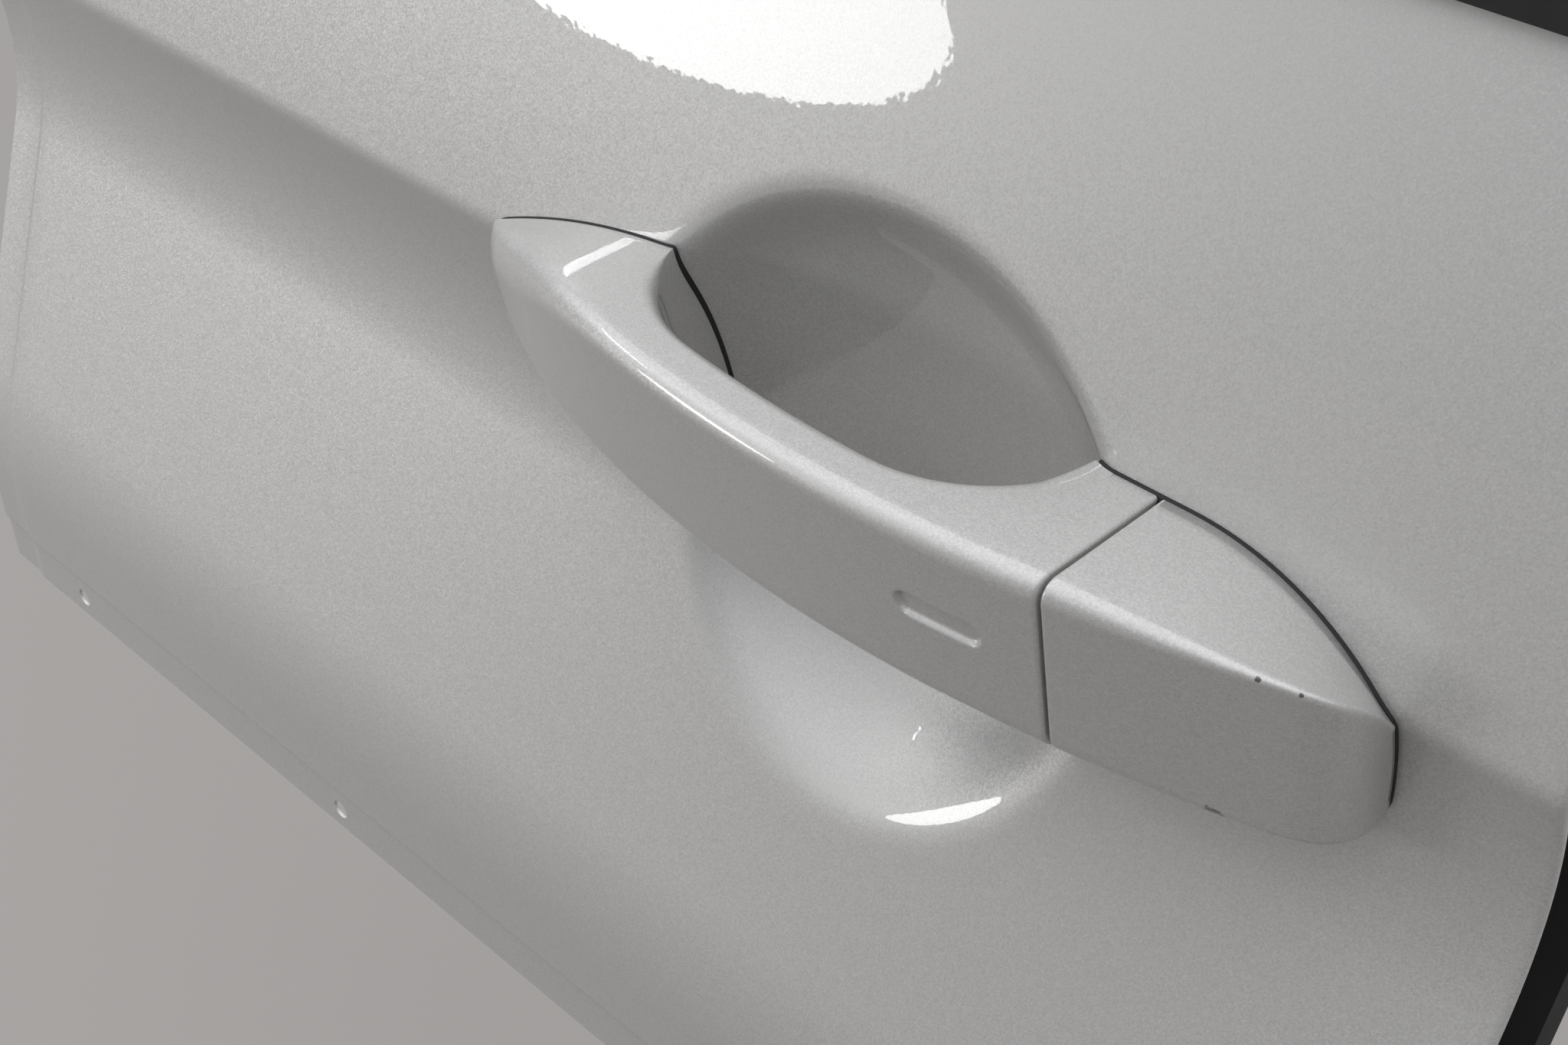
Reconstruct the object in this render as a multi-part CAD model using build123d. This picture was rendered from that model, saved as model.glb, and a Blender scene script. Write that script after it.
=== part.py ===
from build123d import *
import math
import os

# Exterior pull handle of a front left side door, with the part of the door skin that carries it.
# Units are millimetres. X runs rearwards along the car, Y inwards through the skin, Z up.
# Everything is drawn from the point where the door's crease passes under the joint between grip and cap.
# The last step moves it so that the origin is the middle of the row of holes in the lower lap flange.

# Door skin
SHEET = 0.9                 # thickness of the pressed steel
SKIN_REAR = 79.0            # rear edge of the door
SKIN_FRONT = -380.0         # where the front lap flange starts
LAP_WIDTH = 16.0            # width of the stepped flange at the front and below
STEP_WIDTH = 3.0            # width of the step itself
LEAN_LOW = 12.0             # lean of the skin in degrees just above the crease
LEAN_HIGH = 19.0            # the same at the belt line
BELT_Z = 103.0              # height of the belt line above the crease
BELT_FLANGE = 12.0          # height of the upright flange above the belt line
HOLLOW_DEPTH = 5.5          # deepest point of the hollow under the crease
HOLLOW_Z = -28.0
FLARE = 20.0                # outward slope of the lower skin in degrees
FLARE_END_Z = -125.0        # where the lower skin starts to turn upright
LOWER_RADIUS = 110.0        # radius of that turn
LAP_Z = -178.0              # top of the lower lap flange
CREASE_RADIUS = 6.0
HEM_WIDTH = 10.0            # width of the rear edge's fold
HEM_CLEAR = 0.1             # room on each side of the flange inside the fold
HEM_MARGIN = 2.0            # the fold ends this far from the belt and from the lower flange

# Reach of the helper solids
DEEP = 140.0                # behind the skin
OUT = 100.0                 # in front of the skin
FAR = 500.0                 # past the ends of the part
OVER = 1.0                  # past what they cut
LOFT_OVER = 6.0             # above and below grip and cap

# Cup behind the grip
CUP_X = -64.5
CUP_Z = -14.0
CUP_DEPTH = 22.0
CUP_FLOOR_RADIUS = 160.0
CUP_SIDE_RADIUS = 30.0
CUP_FLOOR_ANGLE = 15.0
CUP_SIDE_ANGLE = 52.0
CUP_RIM_RADIUS = 7.0

# Grip and cap, drawn as one body in plan and from the side, then parted at the seam
SEAM_GAP = 0.8              # open joint between grip and cap
CREST_X = -50.0             # where the outer face stands out furthest
CREST_Y = -34.3
PLAN_RADIUS = 300.0         # outer face in plan
NOSE_X = -160.0             # where the nose starts
NOSE_RADIUS = 26.0
NOSE_TURN = 79.0            # how far the nose turns in plan, in degrees
NOSE_TRIM = 2.0             # the side outline ends this far behind the plan's tip
END_X = 58.5                # rear end of the cap
END_RADIUS = 15.0           # its upright corner in plan
FACE_LEAN = 10.5            # the outer face leans inwards going down, in degrees
TOP_Z = 16.2
BOTTOM_Z = -26.5
TOP_FALL_X = -105.0         # where the top starts to fall towards the nose
TOP_FALL_RADIUS = 170.0
BOTTOM_RISE_X = -136.0
BOTTOM_RISE_RADIUS = 42.0
CAP_FALL_X = 14.0           # where the top of the cap starts to fall
CAP_FALL_RADIUS = 38.0
CAP_FALL_ANGLE = 80.0
EDGE_RADIUS = 4.5           # rounding of the long edges
INNER_EDGE_RADIUS = 2.5     # rounding of the edges round the finger gap
CAP_WALL = 2.5
HANDLE_BACK = 60.0          # grip and cap are drawn this far inwards, then cut off over the skin
EDGE_BACK = 12.0            # the rounding of the long edges reaches this far inwards
NOSE_UPRIGHT = 8.0          # upright edges this near the nose's tip are rounded too
END_UPRIGHT = 13.0          # the same at the cap's rear end

# Finger gap between grip and skin
GRIP_THICKNESS = 12.6
GAP_FRONT_X = -121.0        # ends of the gap at the height of the grip's top
GAP_REAR_X = -14.0
GAP_FRONT_RADIUS = 34.0
GAP_REAR_RADIUS = 30.0
GAP_END_LEAN = 12.0         # the ends lean towards each other going down, in degrees

# Sensor recess in the grip's outer face
SENSOR_X = -20.5
SENSOR_Z = -3.0
SENSOR_LENGTH = 17.5
SENSOR_HEIGHT = 5.0
SENSOR_DEPTH = 1.2

# Seals and seats
GASKET = 0.6                # height of the gaskets' outer face above the skin
GASKET_SEAT = 0.1           # and of their inner face
GASKET_EDGE = 0.3           # how far the gaskets show past grip and cap
GASKET_REACH = 5.0          # how far they reach past the ends of the finger gap
SEAT = 0.3                  # gap between parts that sit against each other
RUNNING = 0.05              # radial clearance of a pin in its bore

# Hinge of the grip, behind the skin
HINGE_X = -175.0
HINGE_Y = 16.0
PIN_RADIUS = 3.0
EYE_RADIUS = 6.0
ARM_LOW = -13.0             # underside of the hinge arm
ARM_HIGH = -1.0
ARM_CLEAR = 0.6
ARM_LEAD = 4.0              # the arm's outer face lies this far in front of the pin's axis
LEG_FRONT = -152.0
LEG_REAR = -138.0
SLOT_FRONT = -157.5
SLOT_REAR = -134.0
SLOT_LOW = -15.0
SLOT_HIGH = 1.0

# Pull hook of the grip and the bell crank it turns
HOOK_X = -9.0
HOOK_WIDTH = 7.0
HOOK_LOW = -20.5
HOOK_HIGH = 0.5
HOOK_END = 8.0              # length of the hook beyond the finger
HOOK_ROUND = 5.0            # rounding of the hook's end
WINDOW_CLEAR = 2.5
HOOK_ROOM = 3.0             # room above and below the hook in the carrier
PULL_ANGLE = 10.0
CRANK_ANGLE = 60.0
FINGER_Y = 50.0
FINGER_Z = -8.0
FINGER_RADIUS = 3.0
FINGER_PLAY = 1.4           # room on each side of the finger in the hook's slot
FINGER_RISE = 0.8           # room above and below it
FINGER_PROUD = 2.3          # the finger stands out this far past the hook
SLOT_ROUND = 2.0
CRANK_FRONT = 2.0
CRANK_REAR = 8.5
CRANK_EYE = 7.5
CRANK_BOSS = 5.5            # radius of the boss round the finger
CRANK_ARM = 7.0             # width of the arm to the finger
CRANK_TAIL = 8.0            # width of the stub to the counterweight
WEIGHT_REACH = 22.0
WEIGHT_RADIUS = 8.5
WEIGHT_PROUD = 1.5          # the counterweight stands out this far on each side of the crank

# Return spring, behind the rear lug
SPRING_POST = 4.4           # radius of the post that carries it
POST_LENGTH = 12.5
SPRING_WIRE = 1.1           # radius of the wire
COIL_COUNT = 5
COIL_OVERLAP = 0.2          # the rings sink this far into each other
SPRING_CLEAR = 0.1          # room round the post and beside the lug

# Lock behind the cap
LOCK_X = 27.0
LOCK_Z = -11.0
LOCK_RADIUS = 10.0
LOCK_CLEAR = 0.5            # room round the lock in the skin and before the screw
COLLAR = 12.0               # half the width of the lock's square collar
COLLAR_ROUND = 3.0
PLUG_RADIUS = 6.5
PLUG_SINK = 6.0             # the core starts this far behind the lock's face
PLUG_PROUD = 1.0            # and stands out this far at the back
SQUARE = 6.0                # width of its square end
SQUARE_PROUD = 2.0          # the square end stands out this far past the paddle
LOCK_FRONT_Y = -9.0
LOCK_REAR_Y = 30.0
PADDLE_LENGTH = 16.0
PADDLE_THICK = 4.0
PADDLE_TIP = 3.5
HUB_WALL = 1.0
ROD_HOLE = 1.5
SCREW_RADIUS = 2.5
SCREW_HEAD = 5.0
HEAD_THICK = 4.0
SOCKET_RADIUS = 2.8
SOCKET_DEPTH = 2.5
SCREW_Y = 24.0

# Carrier behind the skin
CARRIER_FRONT = -187.0
CARRIER_REAR = 46.0
SPINE_Y = 26.0
SPINE = 4.0
WALL = 3.0
RIB_HEIGHT = 9.0
RIB_COUNT = 6
BEARING_HEIGHT = 9.0        # the front bearing reaches this far above and below the hinge arm
BEARING_REACH = 6.0         # and this far behind the leg's slot
CHEEK_Y = 4.0
CHEEK_FRONT = 2.0           # the cheeks reach this far past the eye in front
CHEEK_REAR = 1.0            # and at the rear
PIN_SINK = 1.0              # the hinge pin ends this far inside the cheeks
BLOCK_FRONT = -20.0         # rear block, round the hook's window and the lock
BLOCK_WALL = 3.5
BLOCK_TOP = 24.0
BLOCK_LOW = -36.0
BLOCK_DEEP = 16.0
ROOM_Y = 8.0                # the rooms in the rear block start here
LUG = 3.5                   # thickness of the lugs that hold the axle
LUG_PLAY = 1.0              # room between lug and crank
LUG_RADIUS = 6.5
LUG_FOOT = 9.0              # how far a lug's foot reaches below the axle
AXLE_PROUD = 1.0

# Shut face of the door
SHUT_X = 66.0
SHUT_WIDTH = 58.0
RETURN_WIDTH = 12.0
SHUT_MARGIN = 4.0           # it ends this far from the belt and from the lower flange
ACCESS_RADIUS = 9.0
SEAL_INSET = 34.0
SEAL_WIDTH = 11.0
SEAL_BACK = 2.0             # the seal's face lies this far in front of the rear edge
SEAL_MARGIN = 10.0          # it ends this far from the belt and from the lower flange

# Belt strip
STRIP_LIFT = 1.0            # it starts this far above the belt line
STRIP_OVER = 4.0            # and reaches this far above the flange
STRIP_OUT = 2.6
STRIP_IN = 5.0
STRIP_ROUND = 2.0

# Bolt holes of the lower lap flange
LAP_HOLE_RADIUS = 2.75
LAP_HOLE_PITCH = 130.0
LAP_HOLE_COUNT = 4

# Worked out from the above
pull = math.radians(PULL_ANGLE)
half_turn = math.radians(CRANK_ANGLE / 2)
finger_travel = (HOOK_X - HINGE_X) * math.sin(pull) + (FINGER_Y - HINGE_Y) * (1 - math.cos(pull))
CRANK_REACH = 0.5 * finger_travel / math.sin(half_turn)
AXLE_Y = FINGER_Y - 0.5 * finger_travel
AXLE_Z = FINGER_Z + CRANK_REACH * math.cos(half_turn)
LEAN_TAN = math.tan(math.radians(FACE_LEAN))
NOSE_START = math.asin((NOSE_X - CREST_X) / PLAN_RADIUS)    # where the nose's arc takes over, as an angle
NOSE_TIP = -math.radians(NOSE_TURN)
NOSE_CENTRE_X = NOSE_X - NOSE_RADIUS * math.sin(NOSE_START)
TIP_X = NOSE_CENTRE_X + NOSE_RADIUS * math.sin(NOSE_TIP)
FALL = math.radians(CAP_FALL_ANGLE)
floor_turn = math.radians(CUP_FLOOR_ANGLE)
side_turn = math.radians(CUP_SIDE_ANGLE)
side_middle = (CUP_FLOOR_RADIUS - CUP_SIDE_RADIUS) * math.sin(floor_turn)
CUP_REACH = side_middle + CUP_SIDE_RADIUS * math.sin(side_turn)     # radius of the cup where its flank starts
LUG_FRONT = (CRANK_FRONT - LUG_PLAY - LUG, CRANK_FRONT - LUG_PLAY)
LUG_REAR = (CRANK_REAR + LUG_PLAY, CRANK_REAR + LUG_PLAY + LUG)


def skin_line():
    """The outer line of the skin in the YZ plane from the belt flange down to the lower lap flange."""
    low = math.radians(LEAN_LOW)
    high = math.radians(LEAN_HIGH)
    mid = 0.5 * (low + high)
    radius = BELT_Z / (math.sin(high) - math.sin(low))
    hollow_radius = (HOLLOW_DEPTH ** 2 + HOLLOW_Z ** 2) / (2 * HOLLOW_DEPTH)
    start = -math.asin(-HOLLOW_Z / hollow_radius)
    end = math.radians(FLARE)

    def hollow(angle):
        y = HOLLOW_DEPTH - hollow_radius * (1 - math.cos(angle))
        return (y, HOLLOW_Z - hollow_radius * math.sin(angle))

    flare_y, flare_z = hollow(end)
    turn_y = flare_y - (flare_z - FLARE_END_Z) * math.tan(end)
    low_y = turn_y - LOWER_RADIUS * (1 - math.cos(end))
    low_z = FLARE_END_Z - LOWER_RADIUS * math.sin(end)
    turn_mid_y = low_y + LOWER_RADIUS * (1 - math.cos(end / 2))
    return {
        "belt": (radius * (math.cos(low) - math.cos(high)), BELT_Z),
        "upper_mid": (radius * (math.cos(low) - math.cos(mid)), radius * (math.sin(mid) - math.sin(low))),
        "crease": (0.0, 0.0),
        "hollow_mid": hollow(0.5 * (start + end)),
        "flare": (flare_y, flare_z),
        "turn": (turn_y, FLARE_END_Z),
        "turn_mid": (turn_mid_y, low_z + LOWER_RADIUS * math.sin(end / 2)),
        "low": (low_y, low_z),
    }


LINE = skin_line()
LAP_Y = LINE["low"][0] + SHEET      # outer face of the lower lap flange
LAP_HOLE_Z = LAP_Z - STEP_WIDTH - 0.5 * (LAP_WIDTH - STEP_WIDTH)
ORIGIN = (0.5 * (SKIN_FRONT - LAP_WIDTH + SKIN_REAR), LAP_Y, LAP_HOLE_Z)


def outer_face(extra):
    """Everything behind the skin's outer line, as a face in the YZ plane; extra moves its far ends out."""
    p = LINE
    top = BELT_Z + BELT_FLANGE + extra
    foot = LAP_Z - LAP_WIDTH - extra
    deep = DEEP + extra
    edges = [
        Line((p["belt"][0], top), p["belt"]),
        ThreePointArc(p["belt"], p["upper_mid"], p["crease"]),
        ThreePointArc(p["crease"], p["hollow_mid"], p["flare"]),
        Line(p["flare"], p["turn"]),
        ThreePointArc(p["turn"], p["turn_mid"], p["low"]),
        Line(p["low"], (p["low"][0], LAP_Z)),
        Line((p["low"][0], LAP_Z), (LAP_Y, LAP_Z - STEP_WIDTH)),
        Line((LAP_Y, LAP_Z - STEP_WIDTH), (LAP_Y, foot)),
        Line((LAP_Y, foot), (deep, foot)),
        Line((deep, foot), (deep, top)),
        Line((deep, top), (p["belt"][0], top)),
    ]
    face = make_face(Curve() + edges)
    crease = face.vertices().sort_by(lambda v: abs(v.X) + abs(v.Y))[0]
    return fillet(crease, CREASE_RADIUS)


def behind_face(inset):
    """The face behind the skin's outer line moved inwards by inset, or outwards if it is negative."""
    if inset == 0:
        return outer_face(0.0)
    face = offset(outer_face(abs(inset) + 1.0), amount=-inset, kind=Kind.INTERSECTION)
    return face


def cup_void(grow):
    """The space of the cup, grown by grow: floor arc, side arc and a straight flank, turned about Y."""
    floor = CUP_FLOOR_RADIUS
    side = CUP_SIDE_RADIUS
    a = math.radians(CUP_FLOOR_ANGLE)
    b = math.radians(CUP_SIDE_ANGLE)
    reach = CUP_REACH

    def on(centre, radius, angle):
        return (centre[0] + radius * math.sin(angle), centre[1] + radius * math.cos(angle))

    c1 = (0.0, CUP_DEPTH - floor)
    c2 = on(c1, floor - side, a)
    p0 = (0.0, CUP_DEPTH + grow)
    p1 = on(c1, floor + grow, a)
    p2 = on(c2, side + grow, b)
    p3 = (p2[0] + reach * math.cos(b), p2[1] - reach * math.sin(b))
    edges = [
        ThreePointArc(p0, on(c1, floor + grow, a / 2), p1),
        ThreePointArc(p1, on(c2, side + grow, (a + b) / 2), p2),
        Line(p2, p3),
        Line(p3, (0.0, p3[1])),
        Line((0.0, p3[1]), p0),
    ]
    return Pos(CUP_X, 0, CUP_Z) * revolve(make_face(Curve() + edges), Axis.Y)


def on_rim(edge):
    """True for an edge of the solid behind the skin that runs along the rim of the cup."""
    centre = edge.center()
    away = math.hypot(centre.X - CUP_X, centre.Z - CUP_Z)
    return 0.8 * CUP_REACH < away < 1.4 * CUP_REACH and centre.Y < 0.8 * CUP_DEPTH


def behind(inset, front=None, rear=None):
    """The solid behind the skin moved inwards by inset, with the cup and its rounded rim taken out."""
    front = SKIN_FRONT if front is None else front
    rear = SKIN_REAR if rear is None else rear
    block = Pos(front, 0, 0) * extrude(Plane.YZ * behind_face(inset), rear - front)
    block = block - cup_void(inset)
    rim = [e for e in block.edges() if on_rim(e)]
    return fillet(rim, CUP_RIM_RADIUS - inset)


def block(x, y, z):
    """A block between two values on each axis."""
    size = Box(x[1] - x[0], y[1] - y[0], z[1] - z[0])
    return Pos((x[0] + x[1]) / 2, (y[0] + y[1]) / 2, (z[0] + z[1]) / 2) * size


def rod_x(radius, x, y, z):
    """A round rod along X between two values of x."""
    return Pos((x[0] + x[1]) / 2, y, z) * Rot(0, 90, 0) * Cylinder(radius, x[1] - x[0])


def rod_y(radius, x, y, z):
    """A round rod along Y between two values of y."""
    return Pos(x, (y[0] + y[1]) / 2, z) * Rot(90, 0, 0) * Cylinder(radius, y[1] - y[0])


def rod_z(radius, x, y, z):
    """A round rod along Z between two values of z."""
    return Pos(x, y, (z[0] + z[1]) / 2) * Cylinder(radius, z[1] - z[0])


def strip_face(inset):
    """Section of the sheet in the YZ plane, at inset from the outer line."""
    ends = Pos((DEEP - OUT) / 2, (BELT_Z + BELT_FLANGE + LAP_Z - LAP_WIDTH) / 2) * Rectangle(
        DEEP + OUT, BELT_Z + BELT_FLANGE - LAP_Z + LAP_WIDTH)
    return (behind_face(inset) - behind_face(inset + SHEET)) & ends


def front_flange():
    """Stepped flange along the skin's front edge."""
    near = Pos(SKIN_FRONT, 0, 0) * (Plane.YZ * strip_face(0.0))
    far = Pos(SKIN_FRONT - STEP_WIDTH, 0, 0) * (Plane.YZ * strip_face(SHEET))
    step = loft([near.face(), far.face()], ruled=True)
    flat = extrude(far.face(), amount=LAP_WIDTH - STEP_WIDTH, dir=(-1, 0, 0))
    return step + flat


def hem():
    """The rear edge of the skin, folded back round the shut face's flange."""
    rear = SKIN_REAR
    room = SHEET + 2 * HEM_CLEAR
    end = behind_slab(0.0, 2 * SHEET + room, rear - SHEET, rear)
    back = behind_slab(SHEET + room, 2 * SHEET + room, rear - HEM_WIDTH, rear)
    return (end + back) & block((0, FAR), (-FAR, FAR), (LAP_Z + HEM_MARGIN, BELT_Z - HEM_MARGIN))


def behind_slab(near, far, front, rear):
    """A slab between two insets of the skin's outer line, away from the cup."""
    outer = Pos(front, 0, 0) * extrude(Plane.YZ * behind_face(near), rear - front)
    inner = Pos(front - OVER, 0, 0) * extrude(Plane.YZ * behind_face(far), rear - front + 2 * OVER)
    keep = block((front, rear), (-OUT, DEEP), (LAP_Z - LAP_WIDTH, BELT_Z + BELT_FLANGE))
    return (outer - inner) & keep


def hook_window(clear):
    """Opening for the pull hook."""
    half = HOOK_WIDTH / 2 + clear
    return block((HOOK_X - half, HOOK_X + half), (-OUT, OUT), (HOOK_LOW - clear, HOOK_HIGH + clear))


def leg_slot(extra):
    """Opening for the leg of the hinge arm."""
    return block((SLOT_FRONT - extra, SLOT_REAR + extra), (-OUT, OUT), (SLOT_LOW - extra, SLOT_HIGH + extra))


def door_skin():
    outer = behind(0.0)
    inner = behind(SHEET, SKIN_FRONT - OVER, SKIN_REAR + OVER)
    sheet = (outer - inner) & block((SKIN_FRONT, SKIN_REAR), (-OUT, DEEP),
                                    (LAP_Z - LAP_WIDTH, BELT_Z + BELT_FLANGE))
    skin = sheet + front_flange() + hem()
    skin = skin - hook_window(WINDOW_CLEAR) - leg_slot(0.0)
    skin = skin - rod_y(LOCK_RADIUS + LOCK_CLEAR, LOCK_X, (-OUT, OUT), LOCK_Z)
    first = ORIGIN[0] - LAP_HOLE_PITCH * (LAP_HOLE_COUNT - 1) / 2
    for i in range(LAP_HOLE_COUNT):
        x = first + LAP_HOLE_PITCH * i
        skin = skin - rod_y(LAP_HOLE_RADIUS, x, (LAP_Y - OVER, LAP_Y + SHEET + OVER), LAP_HOLE_Z)
    return skin


def plan_face(z, inset):
    """Outline of grip and cap in plan at height z, moved inwards by inset."""
    inwards = (TOP_Z - z) * LEAN_TAN + inset
    centre = (CREST_X, CREST_Y + PLAN_RADIUS)
    radius = PLAN_RADIUS - inwards
    nose_radius = NOSE_RADIUS - inwards
    nose_centre = (NOSE_CENTRE_X, centre[1] - (PLAN_RADIUS - NOSE_RADIUS) * math.cos(NOSE_START))
    start = NOSE_START
    tip = NOSE_TIP
    tip_x = NOSE_CENTRE_X + nose_radius * math.sin(tip)
    end_x = END_X - inwards
    corner_radius = max(END_RADIUS - inwards, 1.0)
    corner_x = end_x - corner_radius
    turn = math.asin((corner_x - centre[0]) / (radius - corner_radius))
    corner = (corner_x, centre[1] - (radius - corner_radius) * math.cos(turn))

    def on(c, r, angle):
        return (c[0] + r * math.sin(angle), c[1] - r * math.cos(angle))

    back = HANDLE_BACK
    quarter = math.pi / 2
    edges = [
        Line((tip_x, back), on(nose_centre, nose_radius, tip)),
        ThreePointArc(on(nose_centre, nose_radius, tip), on(nose_centre, nose_radius, (tip + start) / 2),
                      on(nose_centre, nose_radius, start)),
        ThreePointArc(on(centre, radius, start), on(centre, radius, (start + turn) / 2),
                      on(centre, radius, turn)),
        ThreePointArc(on(corner, corner_radius, turn), on(corner, corner_radius, (turn + quarter) / 2),
                      on(corner, corner_radius, quarter)),
        Line(on(corner, corner_radius, quarter), (end_x, back)),
        Line((end_x, back), (tip_x, back)),
    ]
    return Pos(0, 0, z) * make_face(Curve() + edges)


def side_face(inset):
    """Outline of grip and cap seen from the side, in X and Z, moved inwards by inset."""
    top_c = (TOP_FALL_X, TOP_Z - TOP_FALL_RADIUS)
    low_c = (BOTTOM_RISE_X, BOTTOM_Z + BOTTOM_RISE_RADIUS)
    front = TIP_X + NOSE_TRIM
    top_end = math.asin((TOP_FALL_X - front) / TOP_FALL_RADIUS)
    low_end = math.asin((BOTTOM_RISE_X - front) / BOTTOM_RISE_RADIUS)
    cap_c = (CAP_FALL_X, TOP_Z - CAP_FALL_RADIUS)

    def top(angle):
        return (top_c[0] - TOP_FALL_RADIUS * math.sin(angle), top_c[1] + TOP_FALL_RADIUS * math.cos(angle))

    def low(angle):
        x = low_c[0] - BOTTOM_RISE_RADIUS * math.sin(angle)
        return (x, low_c[1] - BOTTOM_RISE_RADIUS * math.cos(angle))

    def cap(angle):
        return (cap_c[0] + CAP_FALL_RADIUS * math.sin(angle), cap_c[1] + CAP_FALL_RADIUS * math.cos(angle))

    end = cap(FALL)
    radius = (end[1] - BOTTOM_Z) / (1 + math.cos(FALL))
    corner = (end[0] - radius * math.sin(FALL), end[1] - radius * math.cos(FALL))

    def low_corner(angle):
        return (corner[0] + radius * math.sin(angle), corner[1] + radius * math.cos(angle))

    edges = [
        Line((CAP_FALL_X, TOP_Z), (TOP_FALL_X, TOP_Z)),
        ThreePointArc(top(0), top(top_end / 2), top(top_end)),
        Line(top(top_end), low(low_end)),
        ThreePointArc(low(low_end), low(low_end / 2), low(0)),
        Line((BOTTOM_RISE_X, BOTTOM_Z), (corner[0], BOTTOM_Z)),
        ThreePointArc(low_corner(math.pi), low_corner((math.pi + FALL) / 2), low_corner(FALL)),
        ThreePointArc(cap(FALL), cap(FALL / 2), cap(0)),
    ]
    face = make_face(Curve() + edges)
    if inset:
        face = offset(face, amount=-inset)
    return face


def handle_body(inset):
    """Grip and cap as one solid: the plan outline drawn between two heights, trimmed to the side outline."""
    body = loft([plan_face(BOTTOM_Z - LOFT_OVER, inset), plan_face(TOP_Z + LOFT_OVER, inset)], ruled=True)
    return body & along_y(side_face(inset))


def along_y(face):
    """An outline in X and Z as a prism that runs from in front of the skin to behind it."""
    placed = Plane.XZ.offset(OUT) * face
    return extrude(placed.face(), amount=OUT + DEEP, dir=(0, 1, 0))


def outline_edges(solid):
    """The long edges where the outer face meets the top, the underside and the ends."""
    chosen = []
    for e in solid.edges():
        c = e.center()
        t = e.tangent_at(0.5)
        upright = abs(t.Z) > 0.85 and TIP_X + NOSE_UPRIGHT < c.X < END_X - END_UPRIGHT
        if c.Y < EDGE_BACK and e.geom_type != GeomType.LINE and e.length > OVER and not upright:
            chosen.append(e)
    return chosen


def rounded_handle():
    """Grip and cap in one, with the long edges rounded."""
    body = handle_body(0.0)
    return fillet(outline_edges(body), EDGE_RADIUS)


def near_skin():
    """Everything nearer the door than the gaskets and their seats."""
    return behind(-(GASKET + SEAT), TIP_X - GASKET_REACH, END_X + GASKET_REACH)


def gap_face(z):
    """Outline of the finger gap in plan at height z: its inner wall follows the grip's outer face."""
    inwards = (TOP_Z - z) * LEAN_TAN
    ends = (TOP_Z - z) * math.tan(math.radians(GAP_END_LEAN))
    centre = (CREST_X, CREST_Y + PLAN_RADIUS)
    front = GAP_FRONT_X + ends
    rear = GAP_REAR_X - ends
    span = Pos((front + rear) / 2, 0) * Rectangle(rear - front, 2 * HANDLE_BACK)
    face = (Pos(centre[0], centre[1]) * Circle(PLAN_RADIUS - GRIP_THICKNESS - inwards)) & span
    low = face.vertices().sort_by(Axis.Y)[0:2].sort_by(Axis.X)
    face = fillet(low[0], GAP_FRONT_RADIUS)
    low = face.vertices().sort_by(lambda v: -v.X)[0:2].sort_by(Axis.Y)
    face = fillet(low[0], GAP_REAR_RADIUS)
    return Pos(0, 0, z) * face.face()


def gap_prism():
    """The finger gap, drawn between two heights."""
    return loft([gap_face(BOTTOM_Z - LOFT_OVER), gap_face(TOP_Z + LOFT_OVER)], ruled=True)


def sensor_recess():
    """Shallow oblong recess in the outer face, drawn along Y and cut to an even depth."""
    slot = Plane.XZ * (Pos(SENSOR_X, SENSOR_Z) * SlotOverall(SENSOR_LENGTH, SENSOR_HEIGHT))
    tool = extrude(slot.face(), amount=OUT, dir=(0, -1, 0))
    inner = handle_body(SENSOR_DEPTH)
    return tool - inner


def grip():
    """Painted grip with the finger gap, the sensor recess and the seats for the leg and the hook."""
    body = rounded_handle() - block((-SEAM_GAP / 2, FAR), (-FAR, FAR), (-FAR, FAR)) - gap_prism()
    inner = [e for e in body.edges() if on_gap(e)]
    body = fillet(inner, INNER_EDGE_RADIUS)
    return body - near_skin() - sensor_recess()


def on_gap(edge):
    """True for an edge where the finger gap leaves the grip above or below."""
    c = edge.center()
    flat = abs(edge.tangent_at(0.5).Z) < 0.5
    level = min(abs(c.Z - TOP_Z), abs(c.Z - BOTTOM_Z)) < INNER_EDGE_RADIUS
    inside = GAP_FRONT_X - OVER < c.X < GAP_REAR_X + OVER and c.Y > CREST_Y + GRIP_THICKNESS - OVER
    return flat and level and inside


def cap():
    """Painted cap over the lock, a shell open towards the skin."""
    body = rounded_handle() - near_skin() - block((-FAR, SEAM_GAP / 2), (-FAR, FAR), (-FAR, FAR))
    room = handle_body(CAP_WALL) - block((-FAR, SEAM_GAP / 2 + CAP_WALL), (-FAR, FAR), (-FAR, FAR))
    return body - room


def foot_outline(front, rear, grow):
    """Prism along Y round the foot of grip or cap between two values of x, grown all round."""
    return along_y(offset(side_face(0.0), amount=grow)) & block((front, rear), (-FAR, FAR), (-FAR, FAR))


def gasket(outline):
    """A thin seal that follows the skin under an outline."""
    over = behind(-GASKET, TIP_X - GASKET_REACH, END_X + GASKET_REACH)
    return (over & outline) - behind(-GASKET_SEAT)


def front_gasket():
    foot = foot_outline(TIP_X - GASKET_REACH, GAP_FRONT_X + GASKET_REACH, GASKET_EDGE)
    return gasket(foot) - leg_slot(0.0)


def rear_gasket():
    foot = foot_outline(GAP_REAR_X - GASKET_REACH, cap_end() + GASKET_EDGE, GASKET_EDGE)
    room = foot_outline(SEAM_GAP / 2 + 2 * CAP_WALL, END_X, -2 * CAP_WALL)
    return gasket(foot) - hook_window(WINDOW_CLEAR) - room


def cap_end():
    """How far back the cap reaches at the height of the lock."""
    end = CAP_FALL_X + CAP_FALL_RADIUS * math.sin(FALL)
    return min(end, END_X - (TOP_Z - LOCK_Z) * LEAN_TAN)


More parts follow.
